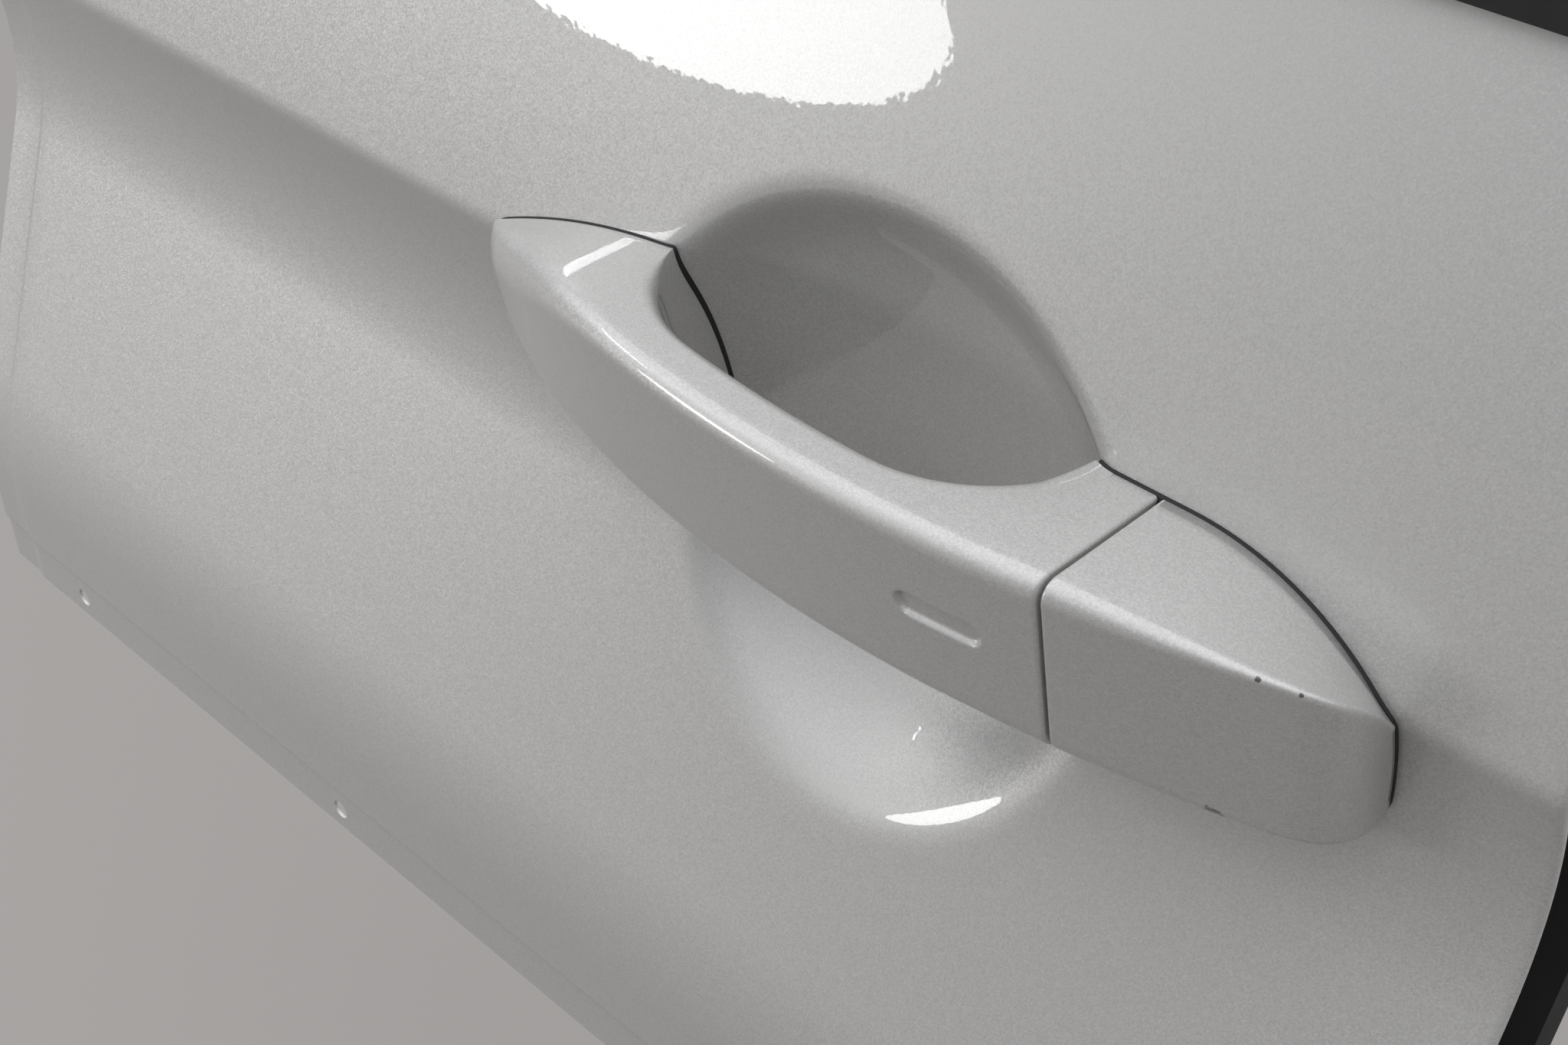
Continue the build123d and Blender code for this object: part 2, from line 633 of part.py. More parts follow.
def grip_leg():
    """Hinge arm: a leg through the slot in the skin, an arm behind it and the eye round the hinge pin."""
    z = (ARM_LOW, ARM_HIGH)
    leg = block((LEG_FRONT, LEG_REAR), (-GASKET, HINGE_Y + EYE_RADIUS), z)
    arm = block((HINGE_X, LEG_REAR), (HINGE_Y - ARM_LEAD, HINGE_Y + EYE_RADIUS), z)
    eye = rod_z(EYE_RADIUS, HINGE_X, HINGE_Y, z)
    body = leg + arm + eye
    body = body - rod_z(PIN_RADIUS + RUNNING, HINGE_X, HINGE_Y, (ARM_LOW - OVER, ARM_HIGH + OVER))
    return body - root_of_grip()


def root_of_grip():
    """The room the grip's foot takes, so that what is bolted to it starts at its underside."""
    return rounded_handle() - near_skin()


def grip_hook():
    """Pull hook: a flat tongue through the window in the skin, with a slot round the crank's finger."""
    half = HOOK_WIDTH / 2
    x = (HOOK_X - half, HOOK_X + half)
    tongue = block(x, (-GASKET, FINGER_Y + HOOK_END), (HOOK_LOW, HOOK_HIGH))
    nose = [e for e in tongue.edges().filter_by(Axis.X) if e.center().Y > FINGER_Y]
    tongue = fillet(nose, HOOK_ROUND)
    sag = CRANK_REACH * (1 - math.cos(half_turn))
    slot_high = FINGER_Z + FINGER_RADIUS + FINGER_RISE
    slot_low = FINGER_Z - sag - FINGER_RADIUS - FINGER_RISE
    half_y = FINGER_RADIUS + FINGER_PLAY
    slot = block((x[0] - OVER, x[1] + OVER), (FINGER_Y - half_y, FINGER_Y + half_y), (slot_low, slot_high))
    slot = fillet(slot.edges().filter_by(Axis.X), SLOT_ROUND)
    return tongue - slot - root_of_grip()


def bell_crank():
    """Lever on the axle: an eye, an arm down to the finger and a stub for the counterweight."""
    x = (CRANK_FRONT, CRANK_REAR)
    eye = rod_x(CRANK_EYE, x, AXLE_Y, AXLE_Z)
    boss = rod_x(CRANK_BOSS, x, FINGER_Y, FINGER_Z)
    arm = bar(x, (AXLE_Y, AXLE_Z), (FINGER_Y, FINGER_Z), CRANK_ARM)
    tail = bar(x, (AXLE_Y, AXLE_Z), weight_place(), CRANK_TAIL)
    finger = rod_x(FINGER_RADIUS, (HOOK_X - HOOK_WIDTH / 2 - FINGER_PROUD, CRANK_FRONT), FINGER_Y, FINGER_Z)
    body = eye + boss + arm + tail + finger
    body = body - rod_x(PIN_RADIUS + RUNNING, (x[0] - OVER, x[1] + OVER), AXLE_Y, AXLE_Z)
    return body - rod_x(WEIGHT_RADIUS, (x[0] - OVER, x[1] + OVER), *weight_place())


def bar(x, start, end, width):
    """A flat bar between two places in the YZ plane."""
    dy = end[0] - start[0]
    dz = end[1] - start[1]
    length = math.hypot(dy, dz)
    angle = math.degrees(math.atan2(dz, dy))
    piece = Box(x[1] - x[0], length, width)
    return Pos((x[0] + x[1]) / 2, (start[0] + end[0]) / 2, (start[1] + end[1]) / 2) * Rot(angle, 0, 0) * piece


def weight_place():
    """Centre of the counterweight, opposite the finger."""
    dy = (AXLE_Y - FINGER_Y) / CRANK_REACH
    dz = (AXLE_Z - FINGER_Z) / CRANK_REACH
    return (AXLE_Y + dy * WEIGHT_REACH, AXLE_Z + dz * WEIGHT_REACH)


def counterweight():
    return rod_x(WEIGHT_RADIUS, (CRANK_FRONT - WEIGHT_PROUD, CRANK_REAR + WEIGHT_PROUD), *weight_place())


def crank_axle():
    """Pin of the bell crank, held in the carrier's two lugs."""
    return rod_x(PIN_RADIUS, (LUG_FRONT[0] - AXLE_PROUD, LUG_REAR[1]), AXLE_Y, AXLE_Z)


def carrier():
    """Moulded carrier behind the skin: front bearing, spine behind the cup and rear block with two lugs."""
    arm_z = (ARM_LOW - ARM_CLEAR, ARM_HIGH + ARM_CLEAR)
    front_x = (CARRIER_FRONT, SLOT_REAR + BEARING_REACH)
    front_z = (arm_z[0] - BEARING_HEIGHT, arm_z[1] + BEARING_HEIGHT)
    front = block(front_x, (-OUT, SPINE_Y + SPINE), front_z)
    room_x = (CARRIER_FRONT + WALL, front_x[1] - WALL)
    front = front - block(room_x, (-FAR, SPINE_Y), (front_z[0] + WALL, front_z[1] - WALL))
    cheek_x = (HINGE_X - EYE_RADIUS - CHEEK_FRONT, HINGE_X + EYE_RADIUS + CHEEK_REAR)
    cheek = block(cheek_x, (CHEEK_Y, SPINE_Y + SPINE), front_z) - block((-FAR, FAR), (-FAR, SPINE_Y), arm_z)
    front = front + cheek
    spine_x = (CARRIER_FRONT, BLOCK_FRONT + BLOCK_WALL)
    spine = block(spine_x, (SPINE_Y, SPINE_Y + SPINE), front_z)
    ribs = block(spine_x, (SPINE_Y, SPINE_Y + RIB_HEIGHT), (front_z[1] - WALL, front_z[1]))
    ribs = ribs + block(spine_x, (SPINE_Y, SPINE_Y + RIB_HEIGHT), (front_z[0], front_z[0] + WALL))
    step = (spine_x[1] - spine_x[0] - WALL) / (RIB_COUNT - 1)
    for i in range(RIB_COUNT):
        x = spine_x[0] + step * i
        ribs = ribs + block((x, x + WALL), (SPINE_Y, SPINE_Y + RIB_HEIGHT), front_z)
    body = front + spine + ribs + rear_block(front_z)
    body = (body & follow()) + spring_post()
    body = body - rod_z(PIN_RADIUS, HINGE_X, HINGE_Y, (front_z[0] - OVER, front_z[1] + OVER))
    return body - rod_x(PIN_RADIUS, (LUG_FRONT[0] - AXLE_PROUD, LUG_REAR[1]), AXLE_Y, AXLE_Z)


def follow():
    """Everything behind the skin's inner face and a seat gap, with the back of the cup."""
    return behind(SHEET + SEAT, CARRIER_FRONT - OVER, CARRIER_REAR + OVER)


def rear_block(front_z):
    """Block round the hook window and the lock, with the wall to the spine and the lugs for the axle."""
    body = block((BLOCK_FRONT, CARRIER_REAR), (-OUT, BLOCK_DEEP), (BLOCK_LOW, BLOCK_TOP))
    body = body + block((BLOCK_FRONT, BLOCK_FRONT + BLOCK_WALL), (0, SPINE_Y + SPINE), front_z)
    for x in (LUG_FRONT, LUG_REAR):
        foot = block(x, (0, AXLE_Y), (AXLE_Z - LUG_FOOT, AXLE_Z + LUG_RADIUS))
        body = body + foot + rod_x(LUG_RADIUS, x, AXLE_Y, AXLE_Z)
    hook_x = (BLOCK_FRONT + BLOCK_WALL, LUG_REAR[0])
    crank_x = (LUG_FRONT[1], LUG_REAR[0])
    pocket_x = (LUG_REAR[1] + WALL, CARRIER_REAR - WALL)
    body = body - block(hook_x, (-FAR, FAR), (HOOK_LOW - HOOK_ROOM, HOOK_HIGH + HOOK_ROOM))
    body = body - block(crank_x, (ROOM_Y, FAR), (HOOK_LOW, BLOCK_TOP - WALL))
    body = body - rod_y(LOCK_RADIUS + SEAT, LOCK_X, (-OUT, OUT), LOCK_Z)
    return body - block(pocket_x, (ROOM_Y, FAR), (LOCK_Z + LOCK_RADIUS + WALL, BLOCK_TOP - WALL))


def lock_housing():
    """Housing of the lock through skin and carrier, with a collar behind and a bore for the screw."""
    body = rod_y(LOCK_RADIUS, LOCK_X, (LOCK_FRONT_Y, LOCK_REAR_Y), LOCK_Z)
    collar = block((LOCK_X - COLLAR, CARRIER_REAR), (BLOCK_DEEP + SEAT, LOCK_REAR_Y),
                   (LOCK_Z - COLLAR, LOCK_Z + COLLAR))
    body = body + fillet(collar.edges().filter_by(Axis.Y), COLLAR_ROUND)
    body = body - rod_y(PLUG_RADIUS + RUNNING, LOCK_X, (LOCK_FRONT_Y + PLUG_SINK, LOCK_REAR_Y + OVER), LOCK_Z)
    return body - rod_x(SCREW_RADIUS, (LOCK_X + LOCK_RADIUS, CARRIER_REAR + OVER), SCREW_Y, LOCK_Z)


def square_end():
    """Square end of the lock's core, which turns the paddle."""
    half = SQUARE / 2
    y = (LOCK_REAR_Y + PLUG_PROUD, LOCK_REAR_Y + PLUG_PROUD + PADDLE_THICK + SQUARE_PROUD)
    return block((LOCK_X - half, LOCK_X + half), y, (LOCK_Z - half, LOCK_Z + half))


def lock_plug():
    """Turning core of the lock, with a square end for the paddle."""
    y = (LOCK_FRONT_Y + PLUG_SINK + SEAT, LOCK_REAR_Y + PLUG_PROUD)
    return rod_y(PLUG_RADIUS, LOCK_X, y, LOCK_Z) + square_end()


def lock_paddle():
    """Flat lever on the end of the core, for a rod or cable."""
    y = (LOCK_REAR_Y + PLUG_PROUD, LOCK_REAR_Y + PLUG_PROUD + PADDLE_THICK)
    hub = rod_y(PLUG_RADIUS + HUB_WALL, LOCK_X, y, LOCK_Z)
    arm = block((LOCK_X - PADDLE_TIP, LOCK_X + PADDLE_TIP), y, (LOCK_Z - PADDLE_LENGTH, LOCK_Z))
    tip = rod_y(PADDLE_TIP, LOCK_X, y, LOCK_Z - PADDLE_LENGTH)
    body = hub + arm + tip
    body = body - rod_y(ROD_HOLE, LOCK_X, (y[0] - OVER, y[1] + OVER), LOCK_Z - PADDLE_LENGTH)
    return body - square_end()


def retaining_screw():
    """Screw from the shut face side into the lock housing."""
    shank = rod_x(SCREW_RADIUS, (LOCK_X + LOCK_RADIUS + LOCK_CLEAR, CARRIER_REAR), SCREW_Y, LOCK_Z)
    head = rod_x(SCREW_HEAD, (CARRIER_REAR, CARRIER_REAR + HEAD_THICK), SCREW_Y, LOCK_Z)
    socket = Rot(0, 90, 0) * extrude(RegularPolygon(SOCKET_RADIUS, 6), amount=SOCKET_DEPTH + OVER)
    return shank + head - Pos(CARRIER_REAR + HEAD_THICK - SOCKET_DEPTH, SCREW_Y, LOCK_Z) * socket


def hinge_pin():
    """Pin of the grip's hinge, held in the carrier's two cheeks."""
    reach = ARM_CLEAR + BEARING_HEIGHT - PIN_SINK
    return rod_z(PIN_RADIUS, HINGE_X, HINGE_Y, (ARM_LOW - reach, ARM_HIGH + reach))


def return_spring():
    """Coils of the return spring round the post behind the rear lug, drawn as a stack of rings."""
    pitch = 2 * SPRING_WIRE - COIL_OVERLAP
    first = LUG_REAR[1] + SPRING_WIRE + SPRING_CLEAR
    coil = Rot(0, 90, 0) * Torus(SPRING_POST + SPRING_WIRE + SPRING_CLEAR, SPRING_WIRE)
    rings = Pos(first, AXLE_Y, AXLE_Z) * coil
    for i in range(1, COIL_COUNT):
        rings = rings + Pos(first + pitch * i, AXLE_Y, AXLE_Z) * coil
    return rings


def spring_post():
    """Post that carries the spring's coils on the carrier's rear lug."""
    return rod_x(SPRING_POST, (LUG_REAR[1], LUG_REAR[1] + POST_LENGTH), AXLE_Y, AXLE_Z)


def shut_face():
    """Inner panel's edge: a flange inside the hem, the upright face behind the rear edge and its return."""
    inset = SHEET + HEM_CLEAR
    flange = behind_slab(inset, inset + SHEET, SHUT_X, SKIN_REAR - SHEET - SEAT)
    wall = behind_slab(inset, SHUT_WIDTH, SHUT_X, SHUT_X + SHEET)
    turn = behind_slab(SHUT_WIDTH - SHEET, SHUT_WIDTH, SHUT_X - RETURN_WIDTH, SHUT_X + SHEET)
    body = (flange + wall + turn) & block((0, FAR), (-FAR, FAR), (LAP_Z + SHUT_MARGIN, BELT_Z - SHUT_MARGIN))
    return body - rod_x(ACCESS_RADIUS, (SHUT_X - OVER, SHUT_X + SHEET + OVER), SCREW_Y, LOCK_Z)


def edge_seal():
    """Rubber seal that runs down the shut face, behind the rear edge."""
    band = behind_slab(SEAL_INSET, SEAL_INSET + SEAL_WIDTH, SHUT_X + SHEET, SKIN_REAR - SEAL_BACK)
    return band & block((0, FAR), (-FAR, FAR), (LAP_Z + SEAL_MARGIN, BELT_Z - SEAL_MARGIN))


def belt_seal():
    """Black strip pushed over the upright flange along the belt line."""
    y = LINE["belt"][0]
    z = (BELT_Z + STRIP_LIFT, BELT_Z + BELT_FLANGE + STRIP_OVER)
    strip = block((SKIN_FRONT - LAP_WIDTH, SKIN_REAR), (y - STRIP_OUT, y + STRIP_IN), z)
    top = strip.edges().filter_by(Axis.X).filter_by_position(Axis.Z, z[1] - OVER, z[1] + OVER)
    groove_y = (y - HEM_CLEAR, y + 2 * SHEET + HEM_CLEAR)
    return fillet(top, STRIP_ROUND) - block((-FAR, FAR), groove_y, (0, BELT_Z + BELT_FLANGE + HEM_CLEAR))


NODES = {
    "door_skin": door_skin,
    "shut_face": shut_face,
    "edge_seal": edge_seal,
    "belt_seal": belt_seal,
    "front_gasket": front_gasket,
    "rear_gasket": rear_gasket,
    "cap": cap,
    "carrier": carrier,
    "hinge_pin": hinge_pin,
    "crank_axle": crank_axle,
    "return_spring": return_spring,
    "lock_housing": lock_housing,
    "retaining_screw": retaining_screw,
    "grip": grip,
    "hinge_arm": grip_leg,
    "pull_hook": grip_hook,
    "bell_crank": bell_crank,
    "counterweight": counterweight,
    "lock_plug": lock_plug,
    "lock_paddle": lock_paddle,
}

if __name__ == "__main__":
    os.makedirs("parts", exist_ok=True)
    shift = Pos(-ORIGIN[0], -ORIGIN[1], -ORIGIN[2])
    for name, make in NODES.items():
        export_step(shift * make(), "parts/" + name + ".step")
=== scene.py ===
"""Looks of an outside door handle on the piece of door skin that carries it.

The script goes through the object as it is put together: the pressed skin, the grip, the cap, their
gaskets, the belt strip, the rear edge with its seal, and the mechanism on the inner side. The floor, lights
and camera follow. Sizes are in millimetres, with x to the rear, y inwards and z upwards from where the seam
crosses the crease.
"""
import math

import bmesh
import bpy
import numpy as np
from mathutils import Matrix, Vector


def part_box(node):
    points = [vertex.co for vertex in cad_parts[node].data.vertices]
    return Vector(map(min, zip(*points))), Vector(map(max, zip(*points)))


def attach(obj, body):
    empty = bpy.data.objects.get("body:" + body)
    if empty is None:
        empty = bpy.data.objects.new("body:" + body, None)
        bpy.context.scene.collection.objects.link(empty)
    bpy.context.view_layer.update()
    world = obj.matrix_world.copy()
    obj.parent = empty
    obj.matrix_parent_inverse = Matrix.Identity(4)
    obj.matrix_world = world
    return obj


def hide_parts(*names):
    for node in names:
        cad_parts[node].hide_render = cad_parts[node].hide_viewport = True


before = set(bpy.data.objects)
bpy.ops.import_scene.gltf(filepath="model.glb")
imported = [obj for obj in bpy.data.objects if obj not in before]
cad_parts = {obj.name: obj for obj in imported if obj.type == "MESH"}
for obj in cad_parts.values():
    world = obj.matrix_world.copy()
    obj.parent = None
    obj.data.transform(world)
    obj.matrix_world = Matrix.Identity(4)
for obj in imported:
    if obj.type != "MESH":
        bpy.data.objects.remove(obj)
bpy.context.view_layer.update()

# Door skin
# A single steel pressing, 0.9 mm thick, with a crease, a hollow below it and a round cup for the fingers.
# It is joggled at its front and lower edges, stands up at the belt line and is folded back at the rear.
MM = 0.001
SHEET = 0.9
SKIN_FRONT, SKIN_REAR = -380.0, 79.0
BELT_Z, BELT_TOP = 103.0, 115.0
LAP_Z, LAP_END_Z, STEP = -178.0, -194.0, 3.0
LEAN_LOW, LEAN_HIGH = math.radians(12.0), math.radians(19.0)
HOLLOW_DEPTH, HOLLOW_Z = 5.5, -28.0
FLARE, FLARE_END_Z, LOWER_RADIUS = math.radians(20.0), -125.0, 110.0
CREASE_SOFTNESS, BELT_SOFTNESS = 2.6, 0.6
ARC_END_Z, BULGE_Z = -8.0, -170.0
STEEPEST_SINE = 0.99
CUP_X, CUP_Z, CUP_DEPTH = -64.5, -14.0, 22.0
CUP_FLOOR_RADIUS, CUP_SIDE_RADIUS = 160.0, 30.0
CUP_FLOOR_ANGLE, CUP_SIDE_ANGLE = math.radians(15.0), math.radians(52.0)
RIM_SOFTNESS, TIGHTER_BELOW, TIGHTER_BEHIND = 9.5, 0.5, 3.5
BEHIND_TURN, BEHIND_SPREAD = 0.45, 0.4
SLOPE_STEP = 0.2


def smooth_max(a, b, width):
    """The larger of two heights, with the corner between them rounded over the given width."""
    near = np.clip(width - np.abs(a - b), 0.0, None) / width
    return np.maximum(a, b) + near ** 3 * width / 6.0


def angle_of(sine):
    """Angle from its sine, which is kept short of a right angle where the arc has ended."""
    return np.arcsin(np.clip(sine, -STEEPEST_SINE, STEEPEST_SINE))


def skin_line_y(z):
    """Outer line of the skin seen along the door: an arc above the crease, a hollow arc below it, a
    straight flare, an arc that turns upright, and the upright lap. Each is y as a function of z."""
    upper_radius = BELT_Z / (math.sin(LEAN_HIGH) - math.sin(LEAN_LOW))
    lean = angle_of(math.sin(LEAN_LOW) + np.maximum(z, ARC_END_Z) / upper_radius)
    upper = upper_radius * (math.cos(LEAN_LOW) - np.cos(lean)) + np.minimum(z - ARC_END_Z, 0.0)
    belt_y = upper_radius * (math.cos(LEAN_LOW) - math.cos(LEAN_HIGH))
    upper = -smooth_max(-upper, -belt_y, BELT_SOFTNESS)
    hollow_radius = (HOLLOW_DEPTH ** 2 + HOLLOW_Z ** 2) / (2.0 * HOLLOW_DEPTH)
    turn = angle_of((HOLLOW_Z - z) / hollow_radius)
    hollow = HOLLOW_DEPTH - hollow_radius * (1.0 - np.cos(turn))
    flare_z = HOLLOW_Z - hollow_radius * math.sin(FLARE)
    flare_y = HOLLOW_DEPTH - hollow_radius * (1.0 - math.cos(FLARE))
    flare = flare_y - (flare_z - z) * math.tan(FLARE)
    low_z = FLARE_END_Z - LOWER_RADIUS * math.sin(FLARE)
    low_y = flare_y - (flare_z - FLARE_END_Z) * math.tan(FLARE) - LOWER_RADIUS * (1.0 - math.cos(FLARE))
    upright = angle_of(np.maximum(z - low_z, 0.0) / LOWER_RADIUS)
    turned = low_y + LOWER_RADIUS * (1.0 - np.cos(upright))
    lower = np.where(z > flare_z, hollow, np.where(z > FLARE_END_Z, flare, turned))
    line = smooth_max(upper, lower, CREASE_SOFTNESS)
    step = np.clip((LAP_Z - z) / STEP, 0.0, 1.0)
    return line + SHEET * step * step * (3.0 - 2.0 * step)


def cup_y(x, z):
    """Depth of the cup, turned about an axis along y: a floor arc, a tighter side arc, a straight flank."""
    r = np.hypot(x - CUP_X, z - CUP_Z)
    floor_y = CUP_DEPTH - CUP_FLOOR_RADIUS
    r1 = CUP_FLOOR_RADIUS * math.sin(CUP_FLOOR_ANGLE)
    side_r = (CUP_FLOOR_RADIUS - CUP_SIDE_RADIUS) * math.sin(CUP_FLOOR_ANGLE)
    side_y = floor_y + (CUP_FLOOR_RADIUS - CUP_SIDE_RADIUS) * math.cos(CUP_FLOOR_ANGLE)
    r2 = side_r + CUP_SIDE_RADIUS * math.sin(CUP_SIDE_ANGLE)
    y2 = side_y + CUP_SIDE_RADIUS * math.cos(CUP_SIDE_ANGLE)
    floor = floor_y + np.sqrt(CUP_FLOOR_RADIUS ** 2 - np.clip(r, 0, r1) ** 2)
    side = side_y + np.sqrt(CUP_SIDE_RADIUS ** 2 - (np.clip(r, r1, r2) - side_r) ** 2)
    flank = y2 - (r - r2) * math.tan(CUP_SIDE_ANGLE)
    return np.where(r < r1, floor, np.where(r < r2, side, flank))


def rim_softness(x, z):
    """Width over which the cup's rim is rounded: wide in front, a little less below by the square of the
    sine, and tightest behind the grip's rear end, by a bell curve over the turn round the cup."""
    turn = np.arctan2(z - CUP_Z, x - CUP_X)
    below = TIGHTER_BELOW * np.clip(-np.sin(turn), 0.0, 1.0) ** 2
    return RIM_SOFTNESS - below - TIGHTER_BEHIND * np.exp(-((turn - BEHIND_TURN) / BEHIND_SPREAD) ** 2)


def skin_y(x, z):
    """Outer face of the skin with the cup, as y over x and z."""
    return smooth_max(skin_line_y(z), cup_y(x, z), rim_softness(x, z))


def skin_slope(x, z):
    """Slopes of the outer face along x and z, from a small step each way."""
    return ((skin_y(x + SLOPE_STEP, z) - skin_y(x - SLOPE_STEP, z)) / (2.0 * SLOPE_STEP),
            (skin_y(x, z + SLOPE_STEP) - skin_y(x, z - SLOPE_STEP)) / (2.0 * SLOPE_STEP))


# The box of the frame's skin gives the place, in metres, of the seam's crossing with the crease: its rear
# end, its bulge at the bottom, which reaches furthest out, and its top.
skin_low, skin_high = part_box("door_skin")
crease_place = np.array((skin_high.x - SKIN_REAR * MM,
                         skin_low.y - float(skin_line_y(np.array(BULGE_Z))) * MM,
                         skin_high.z - BELT_TOP * MM))


def quads_of(rows, cols, keep=None, closed=False, ring=False):
    """Corner numbers of a grid's quads, row by row. Closed joins the last column to the first, and ring the
    last row to the first."""
    r, c = np.meshgrid(np.arange(rows if ring else rows - 1), np.arange(cols if closed else cols - 1),
                       indexing="ij")
    below, after = (r + 1) % rows * cols, (c + 1) % cols
    quads = np.stack([r * cols + c, below + c, below + after, r * cols + after], -1)
    return quads.reshape(-1, 4) if keep is None else quads[keep]


def thick(points, thickness, keep=None):
    """A sheet: the outer grid, the same grid moved inwards along its normals, and a rim round what is kept.
    Returns the points, the faces, and 0 or 1 for each face, where 1 is the inner side."""
    rows, cols = points.shape[:2]
    keep = np.ones((rows - 1, cols - 1), bool) if keep is None else keep
    outwards = np.cross(np.gradient(points, axis=0), np.gradient(points, axis=1))
    outwards /= np.linalg.norm(outwards, axis=-1, keepdims=True) + 1e-12
    inner = points - outwards * thickness
    count = rows * cols
    faces = quads_of(rows, cols, keep)
    pad = np.pad(keep, 1)
    number = np.arange(count).reshape(rows, cols)
    above, below = pad[:-1, 1:-1], pad[1:, 1:-1]
    left, right = pad[1:-1, :-1], pad[1:-1, 1:]
    rims = []
    for first, second, edge in ((number[:, :-1], number[:, 1:], below & ~above),
                                (number[:, 1:], number[:, :-1], above & ~below),
                                (number[1:], number[:-1], right & ~left),
                                (number[:-1], number[1:], left & ~right)):
        a, b = first[edge], second[edge]
        rims.append(np.stack([a, b, b + count, a + count], -1))
    back = faces[:, ::-1] + count
    marks = np.repeat([0, 1, 0], [len(faces), len(back), sum(map(len, rims))])
    both = np.concatenate([points.reshape(-1, 3), inner.reshape(-1, 3)])
    return both, np.concatenate([faces, back, *rims]), marks


def piece(name, patches, body, finishes, replaced, sharp=40.0, merge=0.002):
    """One mesh from patches, each with points, faces and, if it has two finishes, the number of each face's
    finish. Points closer than the merge distance become one, and the faces are turned outwards and shaded
    smooth up to the sharp angle, in degrees. The piece rides on a body and replaces nodes of the frame."""
    points, faces, marks, start = [], [], [], 0
    for patch in patches:
        points.append(np.asarray(patch[0], float).reshape(-1, 3))
        faces.extend((np.asarray(patch[1]) + start).tolist())
        marks.append(patch[2] if len(patch) > 2 else np.zeros(len(patch[1]), int))
        start += len(points[-1])
    mesh = bpy.data.meshes.new(name)
    mesh.from_pydata((np.concatenate(points) * MM + crease_place).tolist(), [], faces)
    for finish in finishes:
        mesh.materials.append(finish)
    mesh.polygons.foreach_set("material_index", np.concatenate(marks).astype(np.int32))
    work = bmesh.new()
    work.from_mesh(mesh)
    bmesh.ops.remove_doubles(work, verts=work.verts, dist=merge * MM)
    bmesh.ops.dissolve_degenerate(work, edges=work.edges, dist=1e-7)
    loose = [v for v in work.verts if not v.link_faces]
    bmesh.ops.delete(work, geom=loose, context="VERTS")
    bmesh.ops.recalc_face_normals(work, faces=work.faces)
    work.to_mesh(mesh)
    work.free()
    mesh.shade_smooth()
    mesh.set_sharp_from_angle(angle=math.radians(sharp))
    made = bpy.data.objects.new(name, mesh)
    bpy.context.scene.collection.objects.link(made)
    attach(made, body)
    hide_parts(*replaced)
    return made


LINE_CLEAR = 0.35


def steps(*stretches, at=()):
    """Grid lines from stretches of (start, end, spacing), with lines exactly at the given places and no
    other lines close to them."""
    lines = np.concatenate([np.linspace(a, b, max(2, round(abs(b - a) / s) + 1)) for a, b, s in stretches])
    at = np.array(at, float)
    if len(at):
        lines = lines[np.min(np.abs(lines[:, None] - at), axis=1) > LINE_CLEAR]
    return np.unique(np.round(np.concatenate([lines, at]), 4))


def round_hole(x, z, centre, radius):
    """Moves the lines round a hole's square block onto its circle, fading to nothing at twice the radius."""
    dx, dz = x - centre[0], z - centre[1]
    reach = np.maximum(np.abs(dx), np.abs(dz))
    shrink = reach / (np.hypot(dx, dz) + 1e-9)
    fade = np.clip(2.0 - reach / radius, 0.0, 1.0)
    scale = 1.0 + (shrink - 1.0) * fade
    return centre[0] + dx * scale, centre[1] + dz * scale


def linear(text):
    """Linear colour, with full cover, from an sRGB colour written in hex."""
    value = np.array([int(text[i:i + 2], 16) for i in (1, 3, 5)]) / 255.0
    value = np.where(value <= 0.04045, value / 12.92, ((value + 0.055) / 1.055) ** 2.4)
    return (*value.tolist(), 1.0)


def add(tree, kind, inputs, **settings):
    """Adds a node, with its settings, and sets or links its inputs. Returns the node's outputs."""
    made = tree.nodes.new("ShaderNode" + kind)
    for key, value in settings.items():
        setattr(made, key, value)
    for key, value in inputs.items():
        if isinstance(value, bpy.types.NodeSocket):
            tree.links.new(value, made.inputs[key])
        else:
            made.inputs[key].default_value = value
    return made.outputs


def new_finish(name):
    """An empty material and its node tree."""
    made = bpy.data.materials.new(name)
    made.use_nodes = True
    made.node_tree.nodes.clear()
    return made, made.node_tree


def show(tree, inputs):
    """Ends a material's tree with one surface shader."""
    add(tree, "OutputMaterial", {"Surface": add(tree, "BsdfPrincipled", inputs)[0]})


FLAKE_WIDTH, FLAKE_TILT = 0.3, 0.13
FLAKE_DARK, FLAKE_PALE, SCUFF_BROWN = "#B7B6B4", "#CAC9C7", "#625B55"
SCUFF_GRAIN = 0.7
PEEL_WIDTH, PEEL_HEIGHT, PEEL_SHARE = 2.5, 0.07, 0.12


